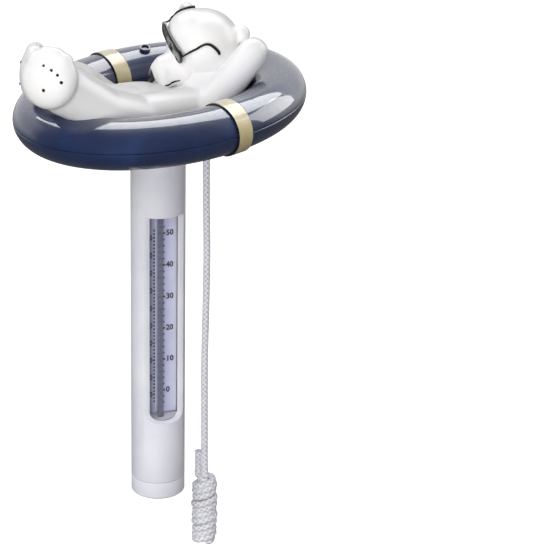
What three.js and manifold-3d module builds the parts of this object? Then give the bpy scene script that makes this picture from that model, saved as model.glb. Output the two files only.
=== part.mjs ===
// A floating pool thermometer: a polar bear lying in an oval swim ring that carries a tube thermometer.
// Millimetres, +Z up, +X from the bear's feet to its head. The origin is on the tube's axis at the waterline.
import * as THREE from "three";
import { mergeVertices } from "three/addons/utils/BufferGeometryUtils.js";
import Module from "manifold-3d";

const wasm = await Module();
wasm.setup();

// Driving dimensions.
const GAP = 0.35; // between pieces that touch
const RING = { a: 55, b: 43, halfWidth: 12.3, halfHeight: 10.75, wall: 1.6, offset: 1.5, segments: 40 };
const RING_TILT = THREE.MathUtils.degToRad(3.3); // the head end floats higher
const BAND = { x: 3, width: 8, thickness: 0.8, from: -80, to: 200 };
const VALVE = { x: 19.6, inward: 3.7, radius: 2.5, height: 1.8 };
const FLAP = { x: -32, inward: 1.5, length: 15, radius: 4.5, height: 1.4, turn: 205 };
const PAN = { z: -10.6, thickness: 2, bossRadius: 19, bossDepth: 4 };
const TUBE = { radius: 12.1, wall: 1.9, top: -13, bottom: -176.3 };
const COLLAR = { top: -12.4, bottom: -22.5, bore: 12.5, radius: 15.2, flange: 19, flangeThickness: 2 };
const WINDOW = { azimuth: -18, top: -48.7, bottom: -147.5, flatAt: 7.9, runOut: 5 };
const SLEEVE = { radius: 9.8, wall: 1, top: -43, bottom: -150.5 };
const CARD = { at: 0.9, thickness: 0.8, width: 16.6, top: -47.8, bottom: -146 };
const STEM = { at: 3.45, radius: 1.5, bore: 0.95, top: -46, bottom: -152 };
const BULB = { radius: 2.6, bottom: -171.8 };
const SPIRIT = { radius: 0.6, top: -94.4, bottom: -158.2 };
const CLIP = { radius: 8.45, thickness: 3.2, upperZ: -44, lowerZ: -146.6 };
const BALLAST = { radius: 9.8, top: -155, bottom: -171.6 };
const CAP = { bottom: -184.5, spigot: 9.8, spigotTop: -172.3, grooveZ: -174.4 };
const SEAL = { section: 0.55, capRadius: 9.3, socketRadius: 13.05, socketZ: -18.6 };
const CORD = { radius: 1.4, x: 26.5, y: 0, sides: 8, top: -26.4, bottom: -184.7 };
const EYE = { z: -16, hole: 2, radius: 3.5, thickness: 3, padRadius: 4.3, padTop: -9.7, padThickness: 1.8 };
const HANK = { width: 11.2, depth: 10, top: -185, bottom: -220.5, turn: -36 };
const TAIL = { side: -2.9, length: 12.5 };
const KNOT = { radius: 2.9, z: -22.9 };
const ROUND = 32; // segments round the tube and its parts

// Colours and finishes.
const finish = (color, roughness, metalness = 0, opacity = 1) =>
  new THREE.MeshStandardMaterial({ color, roughness, metalness, opacity, transparent: opacity < 1 });
const NAVY = finish(0x1e2a50, 0.25);
const CREAM = finish(0xe8dcb4, 0.4);
const WHITE_BEAR = finish(0xf0eff0, 0.35);
const WHITE_PLASTIC = finish(0xe2e2ea, 0.35);
const BLACK = finish(0x141416, 0.2);
const SMOKE = finish(0x3a3c42, 0.1);
const CLEAR = finish(0xd8e0f0, 0.05, 0, 0.35);
const PRINTED = finish(0xa0a2c4, 0.5);
const SPIRIT_BLUE = finish(0x30345a, 0.3);
const STEEL = finish(0x8c8c90, 0.4, 1);
const RUBBER = finish(0x202022, 0.8);
const BRAID = finish(0xe2e1e6, 0.9);

// Joins and cuts.
const toVector = ([x, y, z]) => new THREE.Vector3(x, y, z);

function solidOf(geometry) {
  const bare = geometry.clone();
  bare.deleteAttribute("normal");
  bare.deleteAttribute("uv");
  const merged = mergeVertices(bare);
  return new wasm.Manifold(
    new wasm.Mesh({
      numProp: 3,
      vertProperties: merged.attributes.position.array,
      triVerts: new Uint32Array(merged.index.array),
    }),
  );
}

function geometryOf(solid) {
  const mesh = solid.getMesh();
  const geometry = new THREE.BufferGeometry();
  geometry.setAttribute("position", new THREE.BufferAttribute(mesh.vertProperties, 3));
  geometry.setIndex(new THREE.BufferAttribute(mesh.triVerts, 1));
  geometry.computeVertexNormals();
  return geometry;
}

const joined = (geometries) => geometries.map(solidOf).reduce((a, b) => a.add(b));
const cutBy = (solid, geometries) => geometries.map(solidOf).reduce((a, b) => a.subtract(b), solid);

function addPart(group, name, geometry, material) {
  const mesh = new THREE.Mesh(geometry, material);
  mesh.name = name;
  group.add(mesh);
}

// A profile of [radius, z] points spun about +Z; it runs anticlockwise with the radius to the right.
function spun(points, segments = ROUND) {
  const profile = points.map(([r, z]) => new THREE.Vector2(r, z));
  return new THREE.LatheGeometry(profile, segments).rotateX(Math.PI / 2);
}

const tubeProfile = (outer, inner, bottom, top) => [
  [inner, bottom],
  [outer, bottom],
  [outer, top],
  [inner, top],
  [inner, bottom],
];

function disc(radius, bottom, top, segments = ROUND) {
  return spun([[0, bottom], [radius, bottom], [radius, top], [0, top]], segments);
}

function sealRing(majorRadius, z) {
  return new THREE.TorusGeometry(majorRadius, SEAL.section, 5, 24).translate(0, 0, z);
}

function ellipsoid(centre, radii, grow = 0, lean = 0, turn = 0) {
  return new THREE.SphereGeometry(1, 16, 10)
    .rotateX(Math.PI / 2)
    .scale(...radii.map((r) => r + grow))
    .rotateY(lean)
    .rotateZ(turn)
    .translate(...centre);
}

// A round-ended limb from one ball to another.
function limb(from, to, fromRadius, toRadius, grow = 0) {
  const start = toVector(from);
  const along = toVector(to).sub(start);
  const length = along.length();
  const arc = (radius, y, first, last) =>
    Array.from({ length: 4 }, (_, i) => {
      const angle = THREE.MathUtils.lerp(first, last, i / 3);
      const r = radius + grow;
      return new THREE.Vector2(Math.max(0, r * Math.cos(angle)), y + r * Math.sin(angle));
    });
  const profile = [...arc(fromRadius, 0, -Math.PI / 2, 0), ...arc(toRadius, length, 0, Math.PI / 2)];
  profile[0].x = 0;
  profile[profile.length - 1].x = 0;
  const turn = new THREE.Quaternion().setFromUnitVectors(new THREE.Vector3(0, 1, 0), along.normalize());
  return new THREE.LatheGeometry(profile, 14).applyQuaternion(turn).translate(...from);
}

// The oval ring. A section is a list of [outward, up] offsets from the oval centreline.
const ovalPoint = (angle) => new THREE.Vector3(RING.a * Math.cos(angle), RING.b * Math.sin(angle), 0);
const ovalNormal = (angle) =>
  new THREE.Vector3(Math.cos(angle) / RING.a, Math.sin(angle) / RING.b, 0).normalize();

function ovalRing(section) {
  const radius = 100; // of the round ring that is bent onto the oval
  const geometry = spun(section.map(([out, up]) => [radius + out, up]), RING.segments);
  const position = geometry.attributes.position;
  for (let i = 0; i < position.count; i++) {
    const angle = Math.atan2(position.getY(i), position.getX(i));
    const out = Math.hypot(position.getX(i), position.getY(i)) - radius;
    const bent = ovalPoint(angle).addScaledVector(ovalNormal(angle), out);
    position.setXYZ(i, bent.x, bent.y, position.getZ(i));
  }
  return geometry;
}

function ringArc(fromDegrees, toDegrees, steps, grow = 0) {
  return Array.from({ length: steps + 1 }, (_, i) => {
    const angle = THREE.MathUtils.degToRad(THREE.MathUtils.lerp(fromDegrees, toDegrees, i / steps));
    return [(RING.halfWidth + grow) * Math.cos(angle), (RING.halfHeight + grow) * Math.sin(angle)];
  });
}

function ringShell(side) {
  const partingGap = (GAP / 2) * side;
  const outer = ringArc(0, 180 * side, 9);
  const inner = ringArc(180 * side, 0, 5, -RING.wall);
  const ends = [0, outer.length - 1];
  ends.forEach((i) => (outer[i][1] = partingGap));
  [0, inner.length - 1].forEach((i) => (inner[i][1] = partingGap));
  const section = [...outer, ...inner, outer[0]];
  return ovalRing(side > 0 ? section : section.reverse());
}

const solidRing = (grow) => ovalRing([...ringArc(0, 340, 17, grow), ringArc(0, 0, 1, grow)[0]]);

// Places a flat-made piece on the ring: x outward, y up, z along the ring.
function onRing(geometry, x, side) {
  const angle = side * Math.acos(x / RING.a);
  const normal = ovalNormal(angle);
  const up = new THREE.Vector3(0, 0, 1);
  const basis = new THREE.Matrix4().makeBasis(normal, up, normal.clone().cross(up));
  return geometry.applyMatrix4(basis.setPosition(ovalPoint(angle)));
}

function band(side, grow = 0) {
  const outline = [
    ...ringArc(BAND.from, BAND.to, 20, GAP + BAND.thickness + grow),
    ...ringArc(BAND.to, BAND.from, 20, GAP - grow),
  ].map(([x, y]) => new THREE.Vector2(x, y));
  const width = BAND.width + 2 * grow;
  const strip = new THREE.ExtrudeGeometry(new THREE.Shape(outline), { depth: width, bevelEnabled: false });
  return onRing(strip.translate(0, 0, -width / 2), BAND.x, side);
}

// A small piece that stands on the ring's upper surface, some way inward of its crest.
function onCrest(geometry, x, inward) {
  const lean = Math.asin(inward / RING.halfWidth);
  const height = (RING.halfHeight + GAP) * Math.cos(lean);
  return onRing(geometry.rotateX(-Math.PI / 2).rotateZ(lean).translate(-inward, height, 0), x, 1);
}

function valveBoss() {
  const { radius, height } = VALVE;
  const floor = height - 0.7;
  const outside = [[0, 0.1], [radius, 0.1], [radius, height]];
  const dish = [[radius - 0.6, height], [radius - 0.9, floor], [0, floor]];
  return onCrest(spun([...outside, ...dish], 20), VALVE.x, VALVE.inward);
}

function valveFlap() {
  const { length, radius, height } = FLAP;
  const outline = new THREE.Shape();
  outline.moveTo(length - radius, 0.4);
  outline.lineTo(0.6 * radius, 0.8 * radius);
  outline.absarc(0, 0, radius, Math.atan2(0.8, 0.6), -Math.atan2(0.8, 0.6), false);
  outline.lineTo(length - radius, -0.4);
  outline.closePath();
  const options = { depth: height + 2, bevelEnabled: false, curveSegments: 16 };
  const plate = new THREE.ExtrudeGeometry(outline, options);
  const turned = plate.rotateZ(THREE.MathUtils.degToRad(FLAP.turn)).translate(0, 0, -2);
  return geometryOf(cutBy(solidOf(onCrest(turned, FLAP.x, FLAP.inward)), [solidRing(GAP)]));
}

function floatPan() {
  const plate = new THREE.CylinderGeometry(1, 1, PAN.thickness, 48)
    .rotateX(Math.PI / 2)
    .scale(RING.a - 3, RING.b - 3, 1)
    .translate(0, 0, PAN.z + PAN.thickness / 2);
  const boss = disc(PAN.bossRadius, PAN.z - PAN.bossDepth, PAN.z + PAN.thickness / 2);
  boss.translate(-RING.offset, 0, 0);
  const underBoss = disc(PAN.bossRadius + 5, PAN.z - 20, COLLAR.top + GAP).rotateY(RING_TILT);
  return geometryOf(cutBy(joined([plate, boss]), [solidRing(GAP), underBoss]));
}

// The bear. Its left side is -Y; the near foot is held a little higher than the other.
const HEAD = { centre: [22.7, -2.5, 22.7], radii: [16, 16.8, 16.4] };
const MUZZLE = { from: [13, -1, 15], to: [5, 2.2, 13.4], fromRadius: 10, toRadius: 6.2 };
const EARS = { right: [20.4, 7, 36.4], left: [33.4, -15, 29.3], radius: 3.9 };
const SOLE = { radii: [7, 12.3, 12.8], splay: 0.6 };
const LEFT_LEG = {
  hip: [-16, -13, 0],
  knee: [-36, -12.5, 6.5],
  ankle: [-54, -9, 18.5],
  foot: [-63.4, -11.2, 26.2],
  lean: 0.28,
};
const RIGHT_LEG = {
  hip: [-19, 12, 0.5],
  knee: [-34, 12, 11.5],
  ankle: [-46, 12, 15],
  foot: [-54.8, 12, 20.6],
  lean: 0.04,
};
const LEFT_ARM = { shoulder: [13, -21, 2.5], elbow: [35, -21.5, 21.5], hand: [38, -9, 15] };
const RIGHT_ARM = { shoulder: [18, 18, -1], elbow: [37, 17, 11], hand: [38, 7, 14] };

function headShapes(grow = 0) {
  return [
    ellipsoid(HEAD.centre, HEAD.radii, grow),
    limb(MUZZLE.from, MUZZLE.to, MUZZLE.fromRadius, MUZZLE.toRadius, grow),
    ellipsoid(EARS.right, [EARS.radius, EARS.radius, EARS.radius], grow),
    ellipsoid(EARS.left, [EARS.radius, EARS.radius, EARS.radius], grow),
  ];
}

function legShapes({ hip, knee, ankle, foot, lean }, side) {
  return [
    limb(hip, knee, 9, 9.8),
    limb(knee, ankle, 9.8, 10.5),
    ellipsoid(foot, SOLE.radii, 0, lean, -side * SOLE.splay),
  ];
}

const armShapes = ({ shoulder, elbow, hand }) => [limb(shoulder, elbow, 8, 6.6), limb(elbow, hand, 6.6, 5.5)];

// The swim ring's own tilt, for a cutter made in the ring's frame.
const tilted = (geometry) => geometry.rotateY(-RING_TILT).translate(RING.offset, 0, 0);

function bearBody() {
  const body = joined([
    ellipsoid([-12, 0, 0], [25, 22, 9.8]),
    ellipsoid([12, 0, 1], [17, 20, 6.5]),
    limb([18, -1, 1], [22, -2, 10], 11, 13),
    limb([15, -12, 4], [20, -9, 9], 10, 10),
    ...legShapes(LEFT_LEG, -1),
    ...legShapes(RIGHT_LEG, 1),
    ...armShapes(LEFT_ARM),
    ...armShapes(RIGHT_ARM),
  ]);
  const panTop = PAN.z + PAN.thickness + GAP;
  const below = tilted(new THREE.BoxGeometry(200, 200, 60).translate(0, 0, panTop - 30));
  const ring = [solidRing(GAP), band(-1, GAP), band(1, GAP)].map(tilted);
  return geometryOf(cutBy(body, [...ring, below, ...headShapes(GAP)]));
}

function bearNose() {
  const nose = joined([ellipsoid([0.4, 4.6, 13.4], [2.4, 3.6, 4.8])]);
  return geometryOf(cutBy(nose, headShapes(GAP).slice(0, 2)));
}

// Sunglasses: a front with two lenses, square to the way the face looks, and two temples round the head.
const GLASSES = {
  centre: [6.8, 0, 26.2],
  width: 21.4,
  height: 7.4,
  thickness: 1.3,
  lensInset: 0.9,
  bridge: 2.2,
};
const TEMPLE = {
  radius: 0.7,
  left: [
    [7.9, -11.9, 24.6],
    [10, -13.6, 26.1],
    [12.7, -15.6, 28.1],
    [14.5, -16.8, 28.4],
    [16.5, -18.4, 27],
    [18.1, -19.4, 24.9],
    [18.5, -19.6, 23.6],
  ],
  right: [
    [12.4, 9.6, 32.2],
    [14.3, 8.4, 34],
    [15.3, 5.2, 36.3],
    [18.3, 2, 38.8],
    [20.6, 1.5, 39.4],
  ],
};
const FACE = {
  left: new THREE.Vector3(-0.165, -0.85, -0.5).normalize(),
  ahead: new THREE.Vector3(-0.95, 0.15, 0.0),
};
FACE.ahead.addScaledVector(FACE.left, -FACE.ahead.dot(FACE.left)).normalize();
FACE.up = FACE.ahead.clone().cross(FACE.left).normalize();

function onFace(geometry) {
  const basis = new THREE.Matrix4().makeBasis(FACE.up.clone().cross(FACE.ahead), FACE.up, FACE.ahead);
  return geometry.applyMatrix4(basis.setPosition(...GLASSES.centre));
}

function lensPlate(side, grow) {
  const width = GLASSES.width / 2 - GLASSES.bridge / 2 - GLASSES.lensInset + 2 * grow;
  const height = GLASSES.height - 2 * GLASSES.lensInset + 2 * grow;
  const at = side * (GLASSES.bridge / 2 + (width - 2 * grow) / 2);
  return new THREE.BoxGeometry(width, height, GLASSES.thickness - 0.5 + 4 * grow).translate(at, 0, 0);
}

const frontPlate = (grow = 0) =>
  new THREE.BoxGeometry(GLASSES.width + 2 * grow, GLASSES.height + 2 * grow, GLASSES.thickness + 2 * grow);

function bearHead() {
  return geometryOf(cutBy(joined(headShapes()), [onFace(frontPlate(GAP))]));
}

function glassesFront() {
  const plate = frontPlate();
  return onFace(geometryOf(cutBy(solidOf(plate), [lensPlate(1, GAP), lensPlate(-1, GAP)])));
}

// A strip that runs from the end of the front round the head to the ear, just clear of the skin.
function temple(route) {
  const centre = toVector(HEAD.centre);
  const radii = toVector(HEAD.radii).addScalar(TEMPLE.radius + GAP);
  const points = route.map((point) => {
    const way = toVector(point).sub(centre).normalize();
    const reach = 1 / way.clone().divide(radii).length();
    return way.multiplyScalar(reach).add(centre);
  });
  const path = new THREE.CatmullRomCurve3(points);
  const section = new THREE.Shape().absellipse(0, 0, TEMPLE.radius, TEMPLE.radius, 0, 2 * Math.PI);
  return new THREE.ExtrudeGeometry(section, { steps: 14, extrudePath: path, curveSegments: 2 });
}

// The thermometer tube. The window, card and stem all face one way.
const facing = (geometry) => geometry.rotateZ(THREE.MathUtils.degToRad(WINDOW.azimuth));

// Cuts a flat across the tube's front: square at the top, running out in a curve at the bottom.
function windowCutter() {
  const outside = TUBE.radius + 2;
  const profile = new THREE.Shape();
  profile.moveTo(WINDOW.flatAt, WINDOW.top);
  profile.lineTo(WINDOW.flatAt, WINDOW.bottom + WINDOW.runOut);
  profile.quadraticCurveTo(WINDOW.flatAt, WINDOW.bottom, outside, WINDOW.bottom);
  profile.lineTo(outside, WINDOW.top);
  profile.closePath();
  const depth = 4 * TUBE.radius;
  const block = new THREE.ExtrudeGeometry(profile, { depth, bevelEnabled: false, curveSegments: 6 });
  return facing(block.translate(0, 0, -depth / 2).rotateX(Math.PI / 2).rotateZ(-Math.PI / 2));
}

function tubeBody() {
  const wall = spun(tubeProfile(TUBE.radius, TUBE.radius - TUBE.wall, TUBE.bottom, TUBE.top));
  return geometryOf(cutBy(solidOf(wall), [windowCutter()]));
}

function clearSleeve() {
  const { radius, wall, top, bottom } = SLEEVE;
  return spun(tubeProfile(radius, radius - wall, bottom, top));
}

function scaleCard() {
  const height = CARD.top - CARD.bottom;
  const card = new THREE.BoxGeometry(CARD.width, CARD.thickness, height);
  return facing(card.translate(0, -CARD.at, (CARD.top + CARD.bottom) / 2));
}

const atStem = (geometry) => facing(geometry.translate(0, -STEM.at, 0));

// The glass stem, closed at the top and open under the bulb.
function glassStem() {
  const { radius, bore, top, bottom } = STEM;
  const bulb = [[bore, BULB.bottom], [BULB.radius - 0.6, BULB.bottom], [BULB.radius, BULB.bottom + 1]];
  const rod = [[BULB.radius, bottom - 3], [radius, bottom], [radius, top - 0.6], [radius - 0.6, top]];
  const inside = [[0, top], [0, top - 1], [bore, top - 1.6], [bore, BULB.bottom]];
  return atStem(spun([...bulb, ...rod, ...inside], 14));
}

const spiritColumn = () => atStem(disc(SPIRIT.radius, SPIRIT.bottom, SPIRIT.top, 10));

function stemClip(bottom) {
  const puck = solidOf(disc(CLIP.radius, bottom, bottom + CLIP.thickness));
  const hole = atStem(disc(STEM.radius + GAP, bottom - 5, bottom + CLIP.thickness + 5, 14));
  return geometryOf(cutBy(puck, [hole]));
}

function ballastWeight() {
  const slug = solidOf(disc(BALLAST.radius, BALLAST.bottom, BALLAST.top));
  const forBulb = atStem(disc(BULB.radius + GAP, BALLAST.bottom - 5, BALLAST.top + 5, 14));
  return geometryOf(cutBy(slug, [forBulb]));
}

function topPlug() {
  const radius = TUBE.radius - TUBE.wall - GAP;
  const [lip, hollow, foot] = [TUBE.top - 1, TUBE.top - 3, TUBE.top - 8];
  const inside = [[0, hollow], [radius - 2, hollow], [radius - 2, foot]];
  return spun([...inside, [radius, foot], [radius, lip], [0, lip]]);
}

function socketCollar() {
  const { top, bottom, bore, radius, flange, flangeThickness } = COLLAR;
  const groove = SEAL.socketRadius + SEAL.section + GAP;
  const grooveHalf = SEAL.section + GAP;
  return spun([
    [bore, bottom],
    [radius, bottom],
    [radius, top - flangeThickness],
    [flange, top - flangeThickness],
    [flange, top],
    [bore, top],
    [bore, SEAL.socketZ + grooveHalf],
    [groove, SEAL.socketZ + grooveHalf],
    [groove, SEAL.socketZ - grooveHalf],
    [bore, SEAL.socketZ - grooveHalf],
    [bore, bottom],
  ]);
}

function endCap() {
  const groove = SEAL.capRadius - SEAL.section - GAP;
  const grooveHalf = SEAL.section + GAP;
  return spun([
    [0, CAP.bottom],
    [TUBE.radius - 0.8, CAP.bottom],
    [TUBE.radius, CAP.bottom + 0.8],
    [TUBE.radius, TUBE.bottom - GAP],
    [CAP.spigot, TUBE.bottom - GAP],
    [CAP.spigot, CAP.grooveZ - grooveHalf],
    [groove, CAP.grooveZ - grooveHalf],
    [groove, CAP.grooveZ + grooveHalf],
    [CAP.spigot, CAP.grooveZ + grooveHalf],
    [CAP.spigot, CAP.spigotTop],
    [0, CAP.spigotTop],
  ]);
}

// The cord and what it hangs from.
function cordEye() {
  const { z, hole, radius, thickness, padRadius, padTop, padThickness } = EYE;
  const tab = new THREE.Shape();
  tab.absarc(0, z, radius, Math.PI, 2 * Math.PI, false);
  tab.lineTo(radius, padTop - 1);
  tab.lineTo(-radius, padTop - 1);
  tab.closePath();
  tab.holes.push(new THREE.Path().absarc(0, z, hole, 0, 2 * Math.PI, true));
  const plate = new THREE.ExtrudeGeometry(tab, { depth: thickness, bevelEnabled: false, curveSegments: 10 });
  plate.rotateX(Math.PI / 2).rotateZ(Math.PI / 2).translate(-thickness / 2, 0, 0);
  const pad = disc(padRadius, padTop - padThickness, padTop, 24);
  return geometryOf(joined([plate, pad])).translate(CORD.x, CORD.y, 0);
}

function cordRun(points, steps) {
  const path = new THREE.CatmullRomCurve3(points.map(toVector));
  const section = new THREE.Shape().absellipse(0, 0, CORD.radius, CORD.radius, 0, 2 * Math.PI);
  return new THREE.ExtrudeGeometry(section, { steps, extrudePath: path, curveSegments: CORD.sides / 4 });
}

function hangingCord() {
  const { x, y, top, bottom } = CORD;
  const route = [
    [x, y, top],
    [x, y, -50],
    [x + 0.5, y, -75],
    [x + 0.2, y, -100],
    [x - 0.4, y, -130],
    [x - 0.2, y, -160],
    [x, y, bottom],
  ];
  return cordRun(route, 24);
}

function cordTail() {
  const turn = THREE.MathUtils.degToRad(HANK.turn);
  const x = CORD.x + TAIL.side * Math.cos(turn);
  const y = CORD.y + TAIL.side * Math.sin(turn);
  return cordRun([[x, y, CORD.bottom], [x, y, CORD.bottom + TAIL.length]], 2);
}

function cordHank() {
  const { width, depth, top, bottom } = HANK;
  const end = 3;
  const outline = new THREE.Shape();
  outline.moveTo(-width / 2, bottom + end);
  outline.quadraticCurveTo(-width / 2, bottom, 0, bottom);
  outline.quadraticCurveTo(width / 2, bottom, width / 2, bottom + end);
  outline.lineTo(width / 2, top - end);
  outline.quadraticCurveTo(width / 2, top, width / 4, top);
  outline.lineTo(-width / 4, top);
  outline.quadraticCurveTo(-width / 2, top, -width / 2, top - end);
  outline.closePath();
  const block = new THREE.ExtrudeGeometry(outline, { depth, bevelEnabled: false, curveSegments: 4 });
  block.rotateX(Math.PI / 2).translate(0, depth / 2, 0).rotateZ(THREE.MathUtils.degToRad(HANK.turn));
  return block.translate(CORD.x, CORD.y, 0);
}

// The assembly.
function addFloat(root) {
  const ring = new THREE.Group();
  ring.rotation.y = -RING_TILT;
  ring.position.x = RING.offset;
  addPart(ring, "ring_upper_shell", ringShell(1), NAVY);
  addPart(ring, "ring_lower_shell", ringShell(-1), NAVY);
  addPart(ring, "left_band", band(-1), CREAM);
  addPart(ring, "right_band", band(1), CREAM);
  addPart(ring, "valve_boss", valveBoss(), NAVY);
  addPart(ring, "valve_flap", valveFlap(), CREAM);
  addPart(ring, "float_pan", floatPan(), NAVY);
  root.add(ring);
}

function addBear(root) {
  addPart(root, "bear_body", bearBody(), WHITE_BEAR);
  addPart(root, "bear_head", bearHead(), WHITE_BEAR);
  addPart(root, "bear_nose", bearNose(), BLACK);
  addPart(root, "sunglasses_frame", glassesFront(), BLACK);
  addPart(root, "left_lens", onFace(lensPlate(-1, 0)), SMOKE);
  addPart(root, "right_lens", onFace(lensPlate(1, 0)), SMOKE);
  addPart(root, "left_temple", temple(TEMPLE.left), BLACK);
  addPart(root, "right_temple", temple(TEMPLE.right), BLACK);
}

function addThermometer(root) {
  addPart(root, "socket_collar", socketCollar(), WHITE_PLASTIC);
  addPart(root, "socket_seal", sealRing(SEAL.socketRadius, SEAL.socketZ), RUBBER);
  addPart(root, "top_plug", topPlug(), WHITE_PLASTIC);
  addPart(root, "tube_body", tubeBody(), WHITE_PLASTIC);
  addPart(root, "clear_sleeve", clearSleeve(), CLEAR);
  addPart(root, "scale_card", scaleCard(), PRINTED);
  addPart(root, "glass_stem", glassStem(), CLEAR);
  addPart(root, "spirit_column", spiritColumn(), SPIRIT_BLUE);
  addPart(root, "upper_stem_clip", stemClip(CLIP.upperZ - CLIP.thickness), WHITE_PLASTIC);
  addPart(root, "lower_stem_clip", stemClip(CLIP.lowerZ - CLIP.thickness), WHITE_PLASTIC);
  addPart(root, "ballast_weight", ballastWeight(), STEEL);
  addPart(root, "end_cap", endCap(), WHITE_PLASTIC);
  addPart(root, "cap_seal", sealRing(SEAL.capRadius, CAP.grooveZ), RUBBER);
}

function addCord(root) {
  addPart(root, "cord_eye", cordEye(), WHITE_PLASTIC);
  addPart(root, "cord_knot", ellipsoid([CORD.x, CORD.y, KNOT.z], Array(3).fill(KNOT.radius)), BRAID);
  addPart(root, "cord", hangingCord(), BRAID);
  addPart(root, "cord_hank", cordHank(), BRAID);
  addPart(root, "cord_tail", cordTail(), BRAID);
}

const thermometer = new THREE.Group();
addFloat(thermometer);
addBear(thermometer);
addThermometer(thermometer);
addCord(thermometer);

export default thermometer;
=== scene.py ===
# %% [markdown]
# # A floating pool thermometer
#
# The real object is a small moulded figure, a polar bear in a swim ring, that floats in a pool. A white
# tube hangs under it with a window on a printed scale, and a braided cord ties it to the pool's edge. This
# lesson makes the surfaces one piece at a time around a fixed engineering model, which says where
# everything goes.
#
# The first cell loads that model. Every node of it is an object at the origin with its place in its mesh,
# so a new piece only has to be made where the node is, and no fitting is needed.

# %% Load the fixed frame
import math

import bmesh
import bpy
from mathutils import Matrix, Vector
from mathutils.bvhtree import BVHTree


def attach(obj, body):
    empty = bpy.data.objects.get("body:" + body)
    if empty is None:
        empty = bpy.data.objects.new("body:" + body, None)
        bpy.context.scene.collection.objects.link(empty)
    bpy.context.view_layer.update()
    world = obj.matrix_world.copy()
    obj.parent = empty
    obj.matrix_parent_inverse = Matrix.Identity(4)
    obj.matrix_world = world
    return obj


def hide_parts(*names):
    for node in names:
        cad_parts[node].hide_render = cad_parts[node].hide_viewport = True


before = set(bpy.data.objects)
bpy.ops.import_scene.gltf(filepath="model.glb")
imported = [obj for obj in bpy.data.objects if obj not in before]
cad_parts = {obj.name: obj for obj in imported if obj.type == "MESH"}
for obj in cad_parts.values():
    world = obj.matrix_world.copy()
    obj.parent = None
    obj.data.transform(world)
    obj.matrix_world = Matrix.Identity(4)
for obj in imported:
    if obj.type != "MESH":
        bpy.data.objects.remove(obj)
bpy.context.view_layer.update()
MM = 0.001

# %% [markdown]
# ## The camera
#
# A product like this is shown from a little above, with a long lens that keeps the tube's sides parallel.
# The camera could be aimed by a constraint, but three axis vectors say exactly how it stands: back points
# from the object to the camera, and the camera is then turned a little about its own up axis, so that the
# object stands to the left of the frame without any lens shift.

# %% Camera
VIEW_AZIMUTH = math.radians(-36)
VIEW_ELEVATION = math.radians(22)
VIEW_DISTANCE = 1.23
AIM_BELOW_WATERLINE = 0.074  # measured up the picture
FRAMING_TURN = math.radians(2.353)
FIELD_OF_VIEW = math.radians(11.0345)

view_right = Vector((math.cos(VIEW_AZIMUTH), math.sin(VIEW_AZIMUTH), 0))
view_back = Vector((math.sin(VIEW_AZIMUTH), -math.cos(VIEW_AZIMUTH), 0)) * math.cos(VIEW_ELEVATION)
view_back.z = math.sin(VIEW_ELEVATION)
view_up = view_back.cross(view_right)

camera_data = bpy.data.cameras.new("camera")
camera_data.angle = FIELD_OF_VIEW
camera = bpy.data.objects.new("camera", camera_data)
bpy.context.scene.collection.objects.link(camera)
turned_right = view_right * math.cos(FRAMING_TURN) + view_back * math.sin(FRAMING_TURN)
turned_back = view_back * math.cos(FRAMING_TURN) - view_right * math.sin(FRAMING_TURN)
stand = view_back * VIEW_DISTANCE - view_up * AIM_BELOW_WATERLINE
axes = Matrix((turned_right, view_up, turned_back)).transposed()
camera.matrix_world = Matrix.Translation(stand) @ axes.to_4x4()
bpy.context.scene.camera = camera
print("camera at", [round(c, 3) for c in stand], "lens", round(camera_data.lens, 1), "mm")

# %% [markdown]
# ## Colours and nodes
#
# Blender's shaders work in linear light, while a colour chart gives sRGB values. One function turns a hex
# value into the linear one. A second small function adds a node with its settings and links, so that each
# material below reads as a list of what it is made of. A third turns a real size in millimetres into the
# scale of a noise or a wave, because those count features per metre. Most finishes drift a little between
# two tones, and the function that starts a material can lay that drift under it.

# %% Helpers for materials
def linear(hex_colour):
    channels = [int(hex_colour[i:i + 2], 16) / 255 for i in (0, 2, 4)]
    return tuple(c / 12.92 if c <= 0.04045 else ((c + 0.055) / 1.055) ** 2.4 for c in channels) + (1.0,)


def wire(tree, node, inputs):
    """Sets or links a node's inputs. Each is a value, a socket or a node, which lends its first output."""
    for socket, value in inputs.items():
        if isinstance(value, bpy.types.Node):
            value = value.outputs[0]
        if isinstance(value, bpy.types.NodeSocket):
            tree.links.new(value, node.inputs[socket])
        else:
            node.inputs[socket].default_value = value


def add_node(tree, kind, inputs=None, stops=(), **settings):
    """Adds a node with its settings, its inputs and the (position, hex colour) stops of a ramp."""
    node = tree.nodes.new("ShaderNode" + kind)
    for name, value in settings.items():
        setattr(node, name, value)
    wire(tree, node, inputs or {})
    for number, (position, colour) in enumerate(stops):
        points = node.color_ramp.elements
        if number == len(points):
            points.new(position)
        points[number].position = position
        points[number].color = linear(colour)
    return node


def per_metre(size_in_mm):
    return 1 / (size_in_mm * MM)


SOFT_PATCHES = {"Detail": 3, "Roughness": 0.55}  # of every noise, unless it says otherwise


def new_material(name, shader_inputs, patch_in_mm=None, stops=()):
    """A material with one shader, whose colour may drift through some stops in patches of a size."""
    material = bpy.data.materials.new(name)
    material.use_nodes = True
    tree = material.node_tree
    tree.nodes.clear()
    shader = add_node(tree, "BsdfPrincipled", shader_inputs)
    add_node(tree, "OutputMaterial", {"Surface": shader})
    place = add_node(tree, "TexCoord").outputs["Object"]
    if stops:
        size = per_metre(patch_in_mm)
        patches = add_node(tree, "TexNoise", {"Vector": place, "Scale": size, **SOFT_PATCHES})
        wire(tree, shader, {"Base Color": add_node(tree, "ValToRGB", {"Fac": patches}, stops)})
    return material, tree, shader, place


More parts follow.
